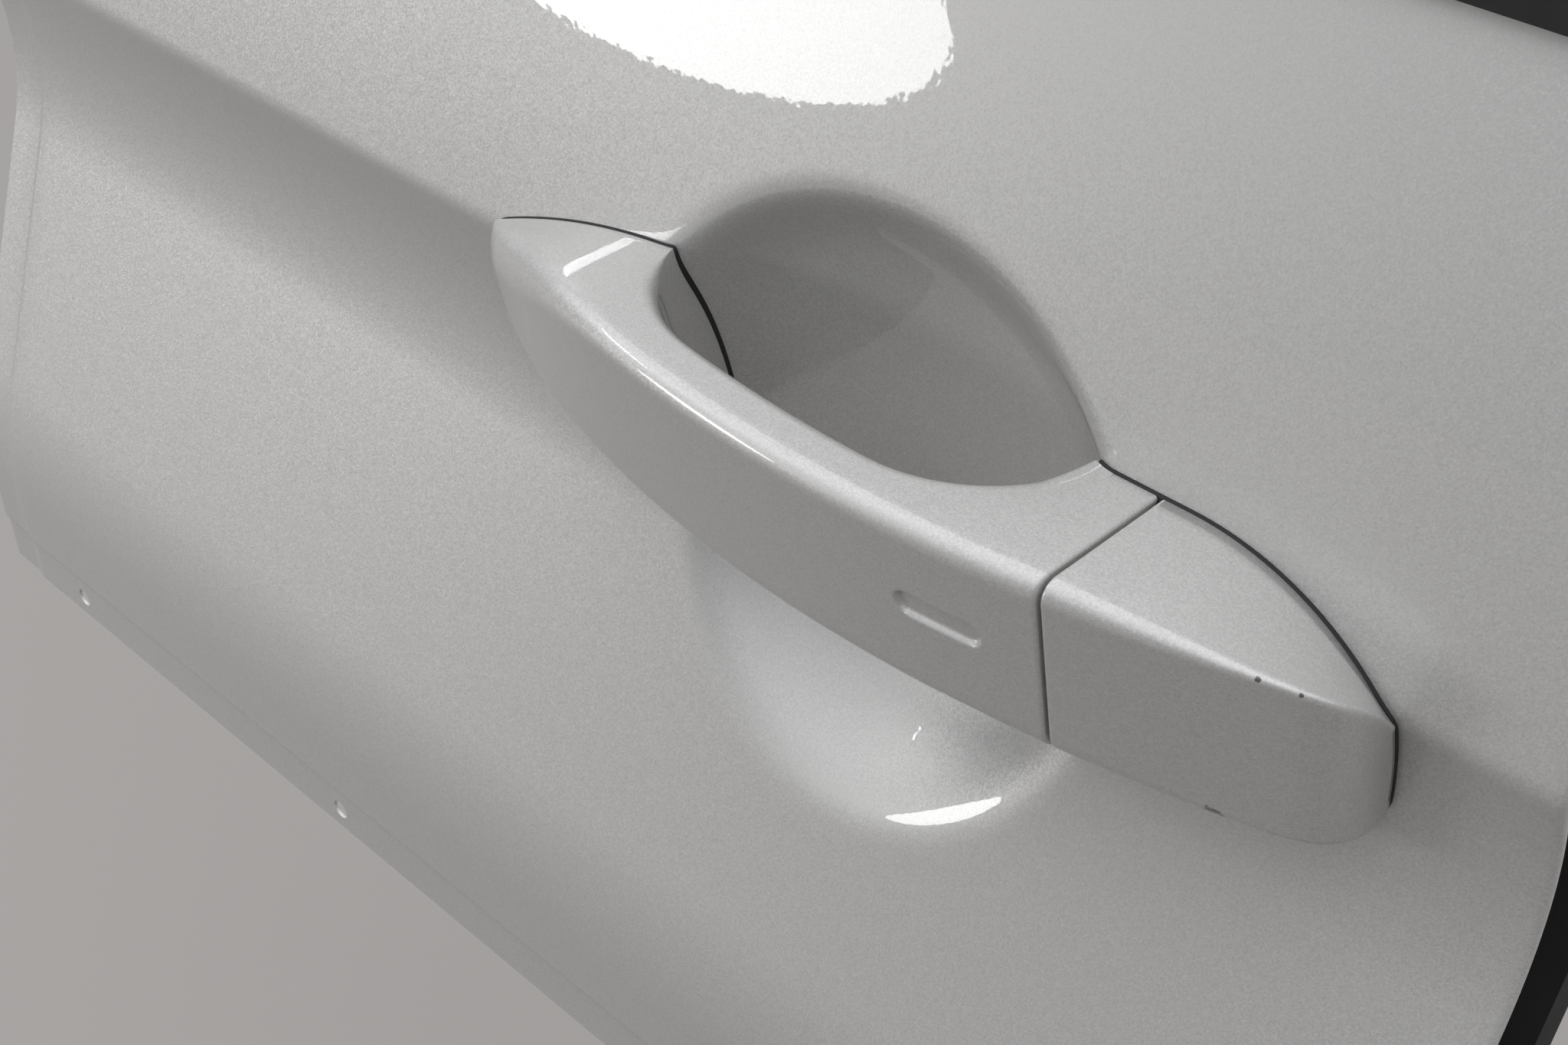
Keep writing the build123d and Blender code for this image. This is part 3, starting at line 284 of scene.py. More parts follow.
def metallic_paint(name, scuffs=()):
    """Silver metallic paint: flakes glint softly under a clear layer, whose orange peel makes its sharp
    reflection a little wavy. The flakes are drawn 0.3 mm wide, several times their real size, so that they
    can be told apart. Scuffs are small ragged marks down to the primer, each a place and a size."""
    made, tree = new_finish(name)
    place = add(tree, "TexCoord", {})["Object"]
    flake = add(tree, "TexVoronoi", {"Vector": place, "Scale": 1.0 / (FLAKE_WIDTH * MM)})["Color"]
    tilt = add(tree, "VectorMath", {0: flake, 1: (0.5, 0.5, 0.5)}, operation="SUBTRACT")[0]
    tilt = add(tree, "VectorMath", {0: tilt, "Scale": FLAKE_TILT}, operation="SCALE")[0]
    tilt = add(tree, "VectorMath", {0: tilt, 1: add(tree, "NewGeometry", {})["Normal"]}, operation="ADD")[0]
    tilt = add(tree, "VectorMath", {0: tilt}, operation="NORMALIZE")[0]
    shade = add(tree, "SeparateColor", {0: flake})[0]
    base = add(tree, "MixRGB", {0: shade, 1: linear(FLAKE_DARK), 2: linear(FLAKE_PALE)})[0]
    ragged = add(tree, "TexNoise", {"Vector": place, "Scale": 1.0 / (SCUFF_GRAIN * MM), "Detail": 4.0})[0]
    for spot, size in scuffs:
        centre = tuple((np.array(spot) * MM + crease_place).tolist())
        away = add(tree, "VectorMath", {0: place, 1: centre}, operation="DISTANCE")["Value"]
        away = add(tree, "Math", {0: away, 1: -1.0 / (size * MM), 2: ragged}, operation="MULTIPLY_ADD")[0]
        bare = add(tree, "MapRange", {"Value": away, "From Min": -0.12, "From Max": -0.06})[0]
        base = add(tree, "MixRGB", {0: bare, 1: base, 2: linear(SCUFF_BROWN)})[0]
    peel = add(tree, "TexNoise", {"Vector": place, "Scale": 1.0 / (PEEL_WIDTH * MM), "Detail": 1.0})[0]
    peel = add(tree, "Bump", {"Height": peel, "Strength": PEEL_SHARE, "Distance": PEEL_HEIGHT * MM})[0]
    show(tree, {"Base Color": base, "Metallic": 0.4, "Roughness": 0.48, "Normal": tilt,
                "Coat Weight": 1.0, "Coat Roughness": 0.02, "Coat Normal": peel})
    return made


paint = metallic_paint("silver_metallic_paint")

# Grey dip primer: the dull coat on the side of the sheet that nobody polishes, with clouds 18 mm wide.
CLOUD_WIDTH = 18.0
primer, tree = new_finish("grey_dip_primer")
mottle = add(tree, "TexNoise", {"Vector": add(tree, "TexCoord", {})["Object"],
                                "Scale": 1.0 / (CLOUD_WIDTH * MM), "Detail": 3.0})[0]
base = add(tree, "MixRGB", {0: mottle, 1: linear("#6E716F"), 2: linear("#7E817E")})[0]
show(tree, {"Base Color": base, "Roughness": 0.55, "Specular IOR Level": 0.4})

# Cut-outs and holes. A window is its least and greatest x, then its least and greatest z.
HOOK_WINDOW = (-15.0, -3.0, -23.0, 3.0)
LEG_SLOT = (-157.5, -134.0, -15.0, 1.0)
LOCK_X, LOCK_Z, LOCK_HOLE = 27.0, -11.0, 10.5
LOCK_WINDOW = (LOCK_X - LOCK_HOLE, LOCK_X + LOCK_HOLE, LOCK_Z - LOCK_HOLE, LOCK_Z + LOCK_HOLE)
BOLT_X, BOLT_RADIUS = (-353.5, -223.5, -93.5, 36.5), 2.75
BOLT_Z = LAP_Z - STEP - 0.5 * (LAP_Z - LAP_END_Z - STEP)
HEM_RADIUS, HEM_BACK, HEM_MARGIN = 1.45, 69.0, 2.0
FOLD_STEPS, HEM_STEPS = 8, 3


def rear_fold():
    """The rear edge in plan: x and the way inwards of a half circle and the hem behind it."""
    turn = np.linspace(0.0, math.pi, FOLD_STEPS + 1)[1:]
    start = SKIN_REAR - HEM_RADIUS
    x = np.concatenate([start + HEM_RADIUS * np.sin(turn), np.linspace(start, HEM_BACK, HEM_STEPS + 1)[1:]])
    w = np.concatenate([HEM_RADIUS * (1.0 - np.cos(turn)), np.full(HEM_STEPS, 2.0 * HEM_RADIUS)])
    return x, w


def skin_points(x_line, inwards, z_line):
    """Grid of the skin: rows from the belt down, columns from front to rear, moved inwards, square to the
    skin's line, where an edge is joggled or folds."""
    x, z = np.meshgrid(x_line, z_line)
    w = np.broadcast_to(inwards, x.shape)
    x, z = round_hole(x, z, (LOCK_X, LOCK_Z), LOCK_HOLE)
    for bolt in BOLT_X:
        x, z = round_hole(x, z, (bolt, BOLT_Z), BOLT_RADIUS)
    y = skin_y(x, z)
    slope = (skin_line_y(z + SLOPE_STEP) - skin_line_y(z - SLOPE_STEP)) / (2.0 * SLOPE_STEP)
    size = np.sqrt(1.0 + slope ** 2)
    return np.stack([x, y + w / size, z - w * slope / size], -1)


def middles(line):
    """Places half way between the lines of a grid."""
    return 0.5 * (line[1:] + line[:-1])


def inside(x, z, box):
    """True for the faces of a grid whose middles lie within a window."""
    a, b = np.meshgrid(middles(x), middles(z))
    return (a > box[0]) & (a < box[1]) & (b > box[2]) & (b < box[3])


# The grid is fine round the cup and the crease and coarse elsewhere. In front of the skin's outer face come
# a joggle and a lap, as ways to the front and inwards.
WIDE, MEDIUM, FINE = 6.0, 2.6, 1.15
CUP_FRONT, CUP_REAR = -142, 8
CUP_LOW, CUP_HIGH = -90, 60
FRONT_LAP = 16.0
JOGGLE_FORWARD = np.array((FRONT_LAP, 10.0, STEP, 2.6, 2.1, 1.5, 0.9, 0.4))
JOGGLE_INWARDS = np.array((SHEET, SHEET, SHEET, 0.86, 0.76, 0.45, 0.14, 0.04))
main_x = steps((SKIN_FRONT, CUP_FRONT, WIDE), (CUP_FRONT, CUP_REAR, FINE),
               (CUP_REAR, SKIN_REAR - HEM_RADIUS, MEDIUM),
               at=(*HOOK_WINDOW[:2], *LEG_SLOT[:2], *LOCK_WINDOW[:2], SKIN_REAR - HEM_RADIUS))
fold_x, fold_w = rear_fold()
front_x, front_w = SKIN_FRONT - JOGGLE_FORWARD, JOGGLE_INWARDS
skin_x = np.concatenate([front_x, main_x, fold_x])
skin_w = np.concatenate([front_w, np.zeros(len(main_x)), fold_w])
upper_z = steps((LAP_Z, CUP_LOW, 4.0), (CUP_LOW, CUP_HIGH, FINE), (CUP_HIGH, 100, 4.0), (100, 106, 0.6),
                (106, BELT_TOP, 3.0), (-5, 5, 0.5),
                at=(*HOOK_WINDOW[2:], *LEG_SLOT[2:], *LOCK_WINDOW[2:]))[::-1]
skin_keep = np.ones((len(upper_z) - 1, len(skin_x) - 1), bool)
for window in (HOOK_WINDOW, LEG_SLOT, LOCK_WINDOW):
    skin_keep &= ~inside(skin_x, upper_z, window)
# The hem behind the fold ends short of the belt and of the lower lap.
hem_rows = (middles(upper_z) > LAP_Z + HEM_MARGIN) & (middles(upper_z) < BELT_Z - HEM_MARGIN)
skin_keep[~hem_rows, len(front_x) + len(main_x) - 1 + FOLD_STEPS // 2:] = False

# The lower lap is a grid of its own, with lines through its bolt holes and round them.
HOLE_LINES = (-1.0, -0.5, 0.0, 0.5, 1.0)
lap_x = steps((SKIN_FRONT - FRONT_LAP, SKIN_REAR, WIDE),
              at=(SKIN_FRONT - FRONT_LAP, SKIN_FRONT - STEP, SKIN_FRONT, SKIN_REAR,
                  *(bolt + d * BOLT_RADIUS for bolt in BOLT_X for d in (-2.0, *HOLE_LINES, 2.0))))
lap_z = steps((LAP_Z - STEP, LAP_Z, 0.4), (LAP_END_Z, LAP_Z - STEP, 1.0),
              at=[BOLT_Z + d * BOLT_RADIUS for d in HOLE_LINES])[::-1]
lap_keep = np.ones((len(lap_z) - 1, len(lap_x) - 1), bool)
for bolt in BOLT_X:
    lap_keep &= ~inside(lap_x, lap_z, (bolt - BOLT_RADIUS, bolt + BOLT_RADIUS,
                                       BOLT_Z - BOLT_RADIUS, BOLT_Z + BOLT_RADIUS))
lap_w = SHEET * np.clip((SKIN_FRONT - lap_x) / STEP, 0.0, 1.0)

piece("painted_skin", [thick(skin_points(skin_x, skin_w, upper_z), SHEET, skin_keep),
                       thick(skin_points(lap_x, lap_w, lap_z), SHEET, lap_keep)],
      "door_section", [paint, primer], ["door_skin"])

# Grip
# A moulded handle, painted with the door: a nose in front, a bar over the cup and a block at the rear.
# Its outer face leans inwards going down; the finger gap follows it, so the bar is equally thick all the way.
SEAM, SEAM_RADIUS, SEAM_REACH = 0.4, 0.7, 2.2
CREST_X, CREST_Y, PLAN_RADIUS = -50.0, -34.3, 300.0
NOSE_X, NOSE_RADIUS = -160.0, 26.0
FACE_LEAN = math.tan(math.radians(10.5))
TOP_Z, BOTTOM_Z = 16.2, -26.5
TOP_FALL_X, TOP_FALL_RADIUS = -105.0, 170.0
BOTTOM_RISE_X, BOTTOM_RISE_RADIUS = -136.0, 42.0
EDGE_RADIUS, LOW_EDGE_RADIUS, INNER_RADIUS = 4.6, 6.0, 2.4
EDGE_SHARE, LOW_EDGE_SHARE, DEPTH_SHARE = 0.42, 0.34, 0.55
CONTACT = 0.9
GRIP_THICKNESS = 12.6
GAP_FRONT_X, GAP_REAR_X = -121.0, -14.0
GAP_FRONT_RADIUS, GAP_REAR_RADIUS = 34.0, 30.0
GAP_END_LEAN = math.tan(math.radians(12.0))
RECESS_X, RECESS_Z, RECESS_LENGTH, RECESS_HEIGHT, RECESS_DEPTH = -20.5, -3.0, 17.5, 5.0, 1.2
RECESS_OUTSIDE, RECESS_SLOPE = 0.45, 0.95
TIP_X, FOOT_X, BLOCK_X = -170.2, -119.0, -14.6
NOSE_SWELL, NOSE_SWELL_X, NOSE_SWELL_RUN = 4.5, -105.0, 40.0


def outer_y(x, z):
    """Outer face of the grip: a wide arc in plan and a nose arc, both with smaller radii going down, which
    moves the face inwards."""
    inwards = (TOP_Z - z) * FACE_LEAN
    centre_y = CREST_Y + PLAN_RADIUS
    start = math.asin((NOSE_X - CREST_X) / PLAN_RADIUS)
    nose_x = CREST_X + (PLAN_RADIUS - NOSE_RADIUS) * math.sin(start)
    nose_y = centre_y - (PLAN_RADIUS - NOSE_RADIUS) * math.cos(start)

    def arc(middle_x, middle_y, radius):
        """Outer side of a circle in plan, as y at x."""
        return middle_y - np.sqrt(np.clip(radius ** 2 - (x - middle_x) ** 2, 1e-6, None))

    main = arc(CREST_X, centre_y, PLAN_RADIUS - inwards)
    nose = arc(nose_x, nose_y, NOSE_RADIUS - inwards)
    return np.where(x < CREST_X + (PLAN_RADIUS - inwards) * math.sin(start), nose, main)


def top_z(x):
    """Top of the grip seen from the side: level, then falling to the nose on a wide arc."""
    fall = np.clip(TOP_FALL_X - x, 0.0, None)
    return TOP_Z - TOP_FALL_RADIUS + np.sqrt(TOP_FALL_RADIUS ** 2 - fall ** 2)


def bottom_z(x):
    """Underside seen from the side: level, then rising to the nose on an arc."""
    rise = np.clip(BOTTOM_RISE_X - x, 0.0, BOTTOM_RISE_RADIUS - 0.5)
    return BOTTOM_Z + BOTTOM_RISE_RADIUS - np.sqrt(BOTTOM_RISE_RADIUS ** 2 - rise ** 2)


def contact_y(x, z):
    """Where grip and cap end over the skin: its outer face moved out, square to it, by the gasket's room."""
    along, up = skin_slope(x, z)
    return skin_y(x, z) - CONTACT * np.sqrt(1.0 + along ** 2 + up ** 2)


ARC_POINTS, GAP_SPANS, GAP_LEVELS = 200, 400, 60
BEHIND_SKIN = 60.0


def evenly(x, y, count):
    """As many points as asked, at even distances along a line in plan."""
    run = np.concatenate([[0.0], np.cumsum(np.hypot(np.diff(x), np.diff(y)))])
    at = np.linspace(0.0, 1.0, count) * run[-1]
    return np.interp(at, run, x), np.interp(at, run, y)


def gap_outline(z):
    """The finger gap in plan at one height, from behind the skin in front to behind it at the rear: a line,
    an arc, the arc along the bar, an arc and a line. Only the stretch outside the skin is returned, as
    evenly spaced points."""
    inwards = (TOP_Z - z) * FACE_LEAN
    front = GAP_FRONT_X + (TOP_Z - z) * GAP_END_LEAN
    rear = GAP_REAR_X - (TOP_Z - z) * GAP_END_LEAN
    centre_y = CREST_Y + PLAN_RADIUS
    wide = PLAN_RADIUS - GRIP_THICKNESS - inwards
    c1 = front + GAP_FRONT_RADIUS
    t1 = math.asin((c1 - CREST_X) / (wide - GAP_FRONT_RADIUS))
    y1 = centre_y - (wide - GAP_FRONT_RADIUS) * math.cos(t1)
    c2 = rear - GAP_REAR_RADIUS
    t2 = math.asin((c2 - CREST_X) / (wide - GAP_REAR_RADIUS))
    y2 = centre_y - (wide - GAP_REAR_RADIUS) * math.cos(t2)
    a = np.linspace(-math.pi / 2, t1, ARC_POINTS)
    b = np.linspace(t1, t2, ARC_POINTS)[1:]
    c = np.linspace(t2, math.pi / 2, ARC_POINTS)[1:]
    x = np.concatenate([[front], c1 + GAP_FRONT_RADIUS * np.sin(a), CREST_X + wide * np.sin(b),
                        c2 + GAP_REAR_RADIUS * np.sin(c), [rear]])
    y = np.concatenate([[BEHIND_SKIN], y1 - GAP_FRONT_RADIUS * np.cos(a), centre_y - wide * np.cos(b),
                        y2 - GAP_REAR_RADIUS * np.cos(c), [BEHIND_SKIN]])
    x, y = evenly(x, y, 10 * GAP_SPANS + 1)
    out = np.flatnonzero(y < contact_y(x, np.full_like(x, z)))
    return np.stack(evenly(x[out[0]:out[-1] + 1], y[out[0]:out[-1] + 1], GAP_SPANS + 1), -1)


level_z = np.linspace(BOTTOM_Z, TOP_Z, GAP_LEVELS)
gap_levels = np.stack([gap_outline(z) for z in level_z])


def grip_stations():
    """Places along the grip from the nose's tip to the seam, closest at the tip, the recess and the seam."""
    nose = TIP_X + (FOOT_X - TIP_X) * np.linspace(0.0, 1.0, 44) ** 1.25
    bar = steps((FOOT_X, -108, 0.5), (-108, -32, 1.3), (-32, -9.5, 0.32), (-9.5, -SEAM - SEAM_REACH, 0.7))
    seam = -SEAM - SEAM_REACH * np.linspace(1.0, 0.0, 9) ** 2
    return np.unique(np.round(np.concatenate([nose, bar, seam]), 4))


station = grip_stations()
# Where each station's inner line touches the gap, as a share of the gap's length. It goes mostly by x and a
# little by the length itself, so that the steep ends of the gap get their share of the stations too.
BY_X, BY_LENGTH = 0.85, 0.15
middle_x = gap_levels[GAP_LEVELS // 2, :, 0]
length_share = np.linspace(0.0, 1.0, GAP_SPANS + 1)
along = BY_X * (middle_x - middle_x[0]) / (middle_x[-1] - middle_x[0]) + BY_LENGTH * length_share
gap_share = np.interp((station - FOOT_X) / (BLOCK_X - FOOT_X), along, length_share)
foot_share = np.clip((station - TIP_X) / (FOOT_X - TIP_X), 0.0, 1.0)
block_share = np.clip((station - BLOCK_X) / (-SEAM - BLOCK_X), 0.0, 1.0)


def inner_rail(z):
    """The grip's inner line at heights z, one row for each station: over the skin along the foot, then
    round the gap, then over the skin along the rear block. A point of the gap is a straight share between
    the levels and the points next to it. Returns x, y and the way from the gap into the bar."""
    place = np.clip((z - level_z[0]) / (level_z[1] - level_z[0]), 0.0, GAP_LEVELS - 1.001)
    low = place.astype(int)
    part = (place - low)[..., None]
    spot = gap_share[:, None] * GAP_SPANS
    first = np.clip(spot.astype(int), 0, GAP_SPANS - 1)
    rest = (spot - first)[..., None]

    def on(index):
        """Points at a place along the gap, between two levels."""
        return gap_levels[low, index] * (1.0 - part) + gap_levels[low + 1, index] * part

    p = on(first) * (1.0 - rest) + on(first + 1) * rest
    tangent = on(np.clip(first + 2, 0, GAP_SPANS)) - on(np.clip(first - 2, 0, GAP_SPANS))
    tangent /= np.linalg.norm(tangent, axis=-1, keepdims=True) + 1e-9
    start, end = on(np.zeros_like(first)), on(np.full_like(first, GAP_SPANS))
    foot, block = foot_share[:, None], block_share[:, None]
    in_foot, in_block = (station < FOOT_X)[:, None], (station > BLOCK_X)[:, None]
    x = np.where(in_foot, TIP_X + (start[..., 0] - TIP_X) * foot, p[..., 0])
    x = np.where(in_block, end[..., 0] + (-SEAM - end[..., 0]) * block, x)
    y = np.where(in_foot | in_block, contact_y(x, z), p[..., 1])
    return x, y, np.stack([tangent[..., 1], -tangent[..., 0]], -1)


def seam_inset(x):
    """How far the section shrinks close to the seam: a quarter round, stopped just short of its steep end."""
    near = np.clip((x + SEAM + SEAM_RADIUS) / SEAM_RADIUS, 0.0, 1.0)
    return SEAM_RADIUS * (1.0 - np.sqrt(1.0 - near ** 2 * 0.999))


def recess(x, z):
    """Depth of the shallow oblong recess: a smooth step over the distance to its round-ended outline."""
    half = 0.5 * (RECESS_LENGTH - RECESS_HEIGHT)
    away = np.hypot(np.clip(np.abs(x - RECESS_X) - half, 0.0, None), z - RECESS_Z) - 0.5 * RECESS_HEIGHT
    fall = np.clip((RECESS_OUTSIDE - away) / RECESS_SLOPE, 0.0, 1.0)
    return RECESS_DEPTH * fall * fall * (3.0 - 2.0 * fall)


def grip_sections():
    """Closed sections across the grip, one row for each station: outer face, upper edge, top, inner edge,
    inner wall, lower inner edge, underside and lower edge. The outer edges are quarter ellipses that meet
    both faces smoothly, and the inner ones quarter rounds that fade out over the foot and the block."""
    x = station[:, None]
    inset = seam_inset(x)
    high, low = top_z(x) - inset, bottom_z(x) + inset
    height = high - low
    swell = NOSE_SWELL * np.clip((NOSE_SWELL_X - x) / NOSE_SWELL_RUN, 0.0, 1.0)
    r_top = np.minimum(EDGE_RADIUS + swell, EDGE_SHARE * height)
    r_low = np.minimum(LOW_EDGE_RADIUS, LOW_EDGE_SHARE * height)
    steep = np.abs(outer_y(x + 0.3, 0 * x) - outer_y(x - 0.3, 0 * x)) / 0.6
    wide = np.sqrt(1.0 + np.clip(steep, 0.0, 4.0) ** 2)
    depth = np.clip(inner_rail(high)[1] - outer_y(x, high), 0.2, None)
    y_top = np.minimum(r_top * wide, DEPTH_SHARE * depth)
    y_low = np.minimum(r_low * wide, DEPTH_SHARE * depth)
    inner = INNER_RADIUS * np.clip((station - FOOT_X - 0.5) / 6.0, 0.0, 1.0)[:, None]
    inner = inner * np.clip((BLOCK_X - station) / 3.0, 0.0, 1.0)[:, None] + 0.02

    def outer(z, extra):
        """Points of the outer face, moved inwards by an extra depth and the seam's inset."""
        return np.stack([np.broadcast_to(x, z.shape), outer_y(x, z) + extra + inset, z], -1)

    # The face's rows lie closest where the recess is.
    level = np.concatenate([np.linspace(0.0, 0.36, 8), np.linspace(0.36, 0.72, 30)[1:],
                            np.linspace(0.72, 1.0, 7)[1:]])
    z = low + r_low + (height - r_top - r_low) * level
    face = outer(z, recess(x, z))
    turn = np.linspace(0.0, 0.5 * math.pi, 11)[1:]
    upper_edge = outer(high - r_top * (1.0 - np.sin(turn)), y_top * (1.0 - np.cos(turn)))
    lower_edge = outer(low + r_low * (1.0 - np.sin(turn[::-1])), y_low * (1.0 - np.cos(turn[::-1])))

    def wall(z, offset):
        """Points of the inner wall, moved into the bar by an offset."""
        px, py, away = inner_rail(np.broadcast_to(z, (len(station), z.shape[-1])))
        z = np.broadcast_to(z, px.shape)
        return np.stack([px + away[..., 0] * offset, py + away[..., 1] * offset, z], -1)

    quarter = np.linspace(0.0, 0.5 * math.pi, 8)
    upper_inner = wall(high - inner * (1.0 - np.cos(quarter)), inner * (1.0 - np.sin(quarter)))
    lower_inner = wall(low + inner * (1.0 - np.cos(quarter[::-1])), inner * (1.0 - np.sin(quarter[::-1])))
    inner_face = wall(high - inner + (low + 2 * inner - high) * np.linspace(0.0, 1.0, 22)[1:-1], 0.0 * inner)

    def across(a, b, height_of, sign):
        """Straight lines from one column of points to another, lifted to the top or the underside."""
        share = np.linspace(0.0, 1.0, 14)[1:-1][None, :, None]
        flat = a[:, None] * (1.0 - share) + b[:, None] * share
        flat[..., 2] = height_of(flat[..., 0]) + sign * seam_inset(flat[..., 0])
        return flat

    upper_inner[..., 2] += top_z(upper_inner[..., 0]) - top_z(x)
    top = across(upper_edge[:, -1], upper_inner[:, 0], top_z, -1.0)
    under = across(lower_inner[:, -1], lower_edge[:, 0], bottom_z, 1.0)
    return np.concatenate([face, upper_edge, top, upper_inner, inner_face, lower_inner, under, lower_edge], 1)


def fan(ring):
    """Closes a ring of points with triangles to its middle."""
    count = len(ring)
    number = np.arange(count)
    corners = np.stack([number, (number + 1) % count, np.full(count, count)], -1)
    return np.vstack([ring, ring.mean(0)]), corners


sections = grip_sections()
piece("painted_grip", [(sections.reshape(-1, 3), quads_of(*sections.shape[:2], closed=True)),
                       fan(sections[0]), fan(sections[-1])],
      "pull_grip", [paint], ["grip"], sharp=50.0)

# Cap
# A painted shell over the lock, clipped on behind the grip and parted from it by a narrow seam. The grip's
# outer face runs on over it and wraps round its rear end, where the facet above comes to a point.
CAP_LEVEL_X, CAP_FALL_RADIUS = 6.0, 65.0
CAP_END_X, CAP_CORNER_RADIUS = 50.2, 14.0
CAP_FOOT_RADIUS = 5.5
CREASE_FALL, CREASE_TURN = 0.06, 40.0
WRAP_X, RUN_STRETCH = 33.0, 1.035
END_EDGE_RADIUS = 1.6
CAP_WALL = 2.2
MIDDLE_Z, MIDDLE_END = -11.0, 45.0
SMALLEST_EDGE_RUN = 50.0
FACET_STEPS, EDGE_STEPS, FACE_STEPS = 9, 12, 23
NEAR_STEPS = 8


def cap_face(run, z):
    """Outer face of the cap at a run along it from the seam, in plan, and a height: the grip's wide arc, a
    corner arc and a straight end wall. The wide arc's radius shrinks going down."""
    run, z = np.broadcast_arrays(run, z)
    wide = PLAN_RADIUS - (TOP_Z - z) * FACE_LEAN
    corner_x = CAP_END_X - CAP_CORNER_RADIUS
    turn = np.arcsin((corner_x - CREST_X) / (wide - CAP_CORNER_RADIUS))
    start = np.arcsin((SEAM - CREST_X) / wide)
    first, second = wide * (turn - start), CAP_CORNER_RADIUS * (0.5 * math.pi - turn)
    arc = start + np.clip(run, 0.0, first) / wide
    corner = turn + np.clip(run - first, 0.0, second) / CAP_CORNER_RADIUS
    centre_y = CREST_Y + PLAN_RADIUS
    corner_y = centre_y - (wide - CAP_CORNER_RADIUS) * np.cos(turn)
    x = np.where(run < first, CREST_X + wide * np.sin(arc), corner_x + CAP_CORNER_RADIUS * np.sin(corner))
    y = np.where(run < first, centre_y - wide * np.cos(arc), corner_y - CAP_CORNER_RADIUS * np.cos(corner))
    return np.stack([x, y + np.clip(run - first - second, 0.0, None), z], -1)


def face_end(z):
    """Run along the face at which its end wall comes to the gasket: back from a run far along the wall, by
    the y between that place and the gasket."""
    far = 200.0
    return far - cap_face(far, z)[..., 1] + contact_y(np.full_like(z, CAP_END_X), z)


def cap_edges():
    """The cap's edge over the skin, as x and z, and the crease round its face, as run and z: from the seam
    along the top, down the end and back below. The top's edge is an arc, and its crease a falling line that
    bends down by a square towards the end. Then come the crease's rounding and the place on the middle line
    that it faces."""
    near = SEAM_REACH * np.linspace(0.0, 1.0, NEAR_STEPS + 1) ** 2
    top = np.concatenate([near, np.linspace(SEAM_REACH, WRAP_X - SEAM, 25)[1:],
                          np.linspace(WRAP_X, CAP_END_X, 29)[1:] - SEAM])
    fall = np.clip(top + SEAM - CAP_LEVEL_X, 0.0, None)
    top_edge = TOP_Z - CAP_FALL_RADIUS + np.sqrt(CAP_FALL_RADIUS ** 2 - fall ** 2)
    foot_z = BOTTOM_Z + CAP_FOOT_RADIUS
    end_run = face_end(top_edge[-1:])[0]
    late = np.clip((top + SEAM - WRAP_X) / (CAP_END_X - WRAP_X), 0.0, 1.0)
    top_run = RUN_STRETCH * top + (end_run - RUN_STRETCH * top[-1]) * late ** 2
    drop = (TOP_Z - CREASE_FALL * end_run - top_edge[-1]) / (end_run - CREASE_TURN) ** 2
    crease = TOP_Z - CREASE_FALL * top_run - drop * np.clip(top_run - CREASE_TURN, 0.0, None) ** 2
    end_z = np.concatenate([np.linspace(top_edge[-1], MIDDLE_Z, 12)[1:],
                            np.linspace(MIDDLE_Z, foot_z, 11)[1:]])
    turn = np.linspace(0.0, 0.5 * math.pi, 19)[1:]
    foot_x = CAP_END_X - CAP_FOOT_RADIUS
    low = np.concatenate([np.linspace(foot_x - SEAM, SEAM_REACH, 36)[1:], near[:-1][::-1]])
    foot_run = RUN_STRETCH * (foot_x - SEAM)
    foot_runs = foot_run + (face_end(np.array([foot_z]))[0] - foot_run) * np.cos(turn)
    corner_z = foot_z - CAP_FOOT_RADIUS * np.sin(turn)
    x = np.concatenate([top + SEAM, np.full(len(end_z), CAP_END_X), foot_x + CAP_FOOT_RADIUS * np.cos(turn),
                        low + SEAM])
    z = np.concatenate([top_edge, end_z, corner_z, np.full(len(low), BOTTOM_Z)])
    run = np.concatenate([top_run, face_end(end_z), foot_runs, RUN_STRETCH * low])
    crease_z = np.concatenate([crease, z[len(top):]])
    rounding = np.full(len(x), LOW_EDGE_RADIUS)
    thinner = np.clip(top_run / SMALLEST_EDGE_RUN, 0.0, 1.0)
    rounding[:len(top)] = EDGE_RADIUS + (END_EDGE_RADIUS - EDGE_RADIUS) * thinner
    far = np.linspace(SEAM_REACH, MIDDLE_END / RUN_STRETCH, len(x) // 2 - NEAR_STEPS + 1)[1:]
    middle_run = RUN_STRETCH * np.concatenate([near, far])
    return x, z, run, crease_z, rounding, np.concatenate([middle_run, middle_run[:-1][::-1]])


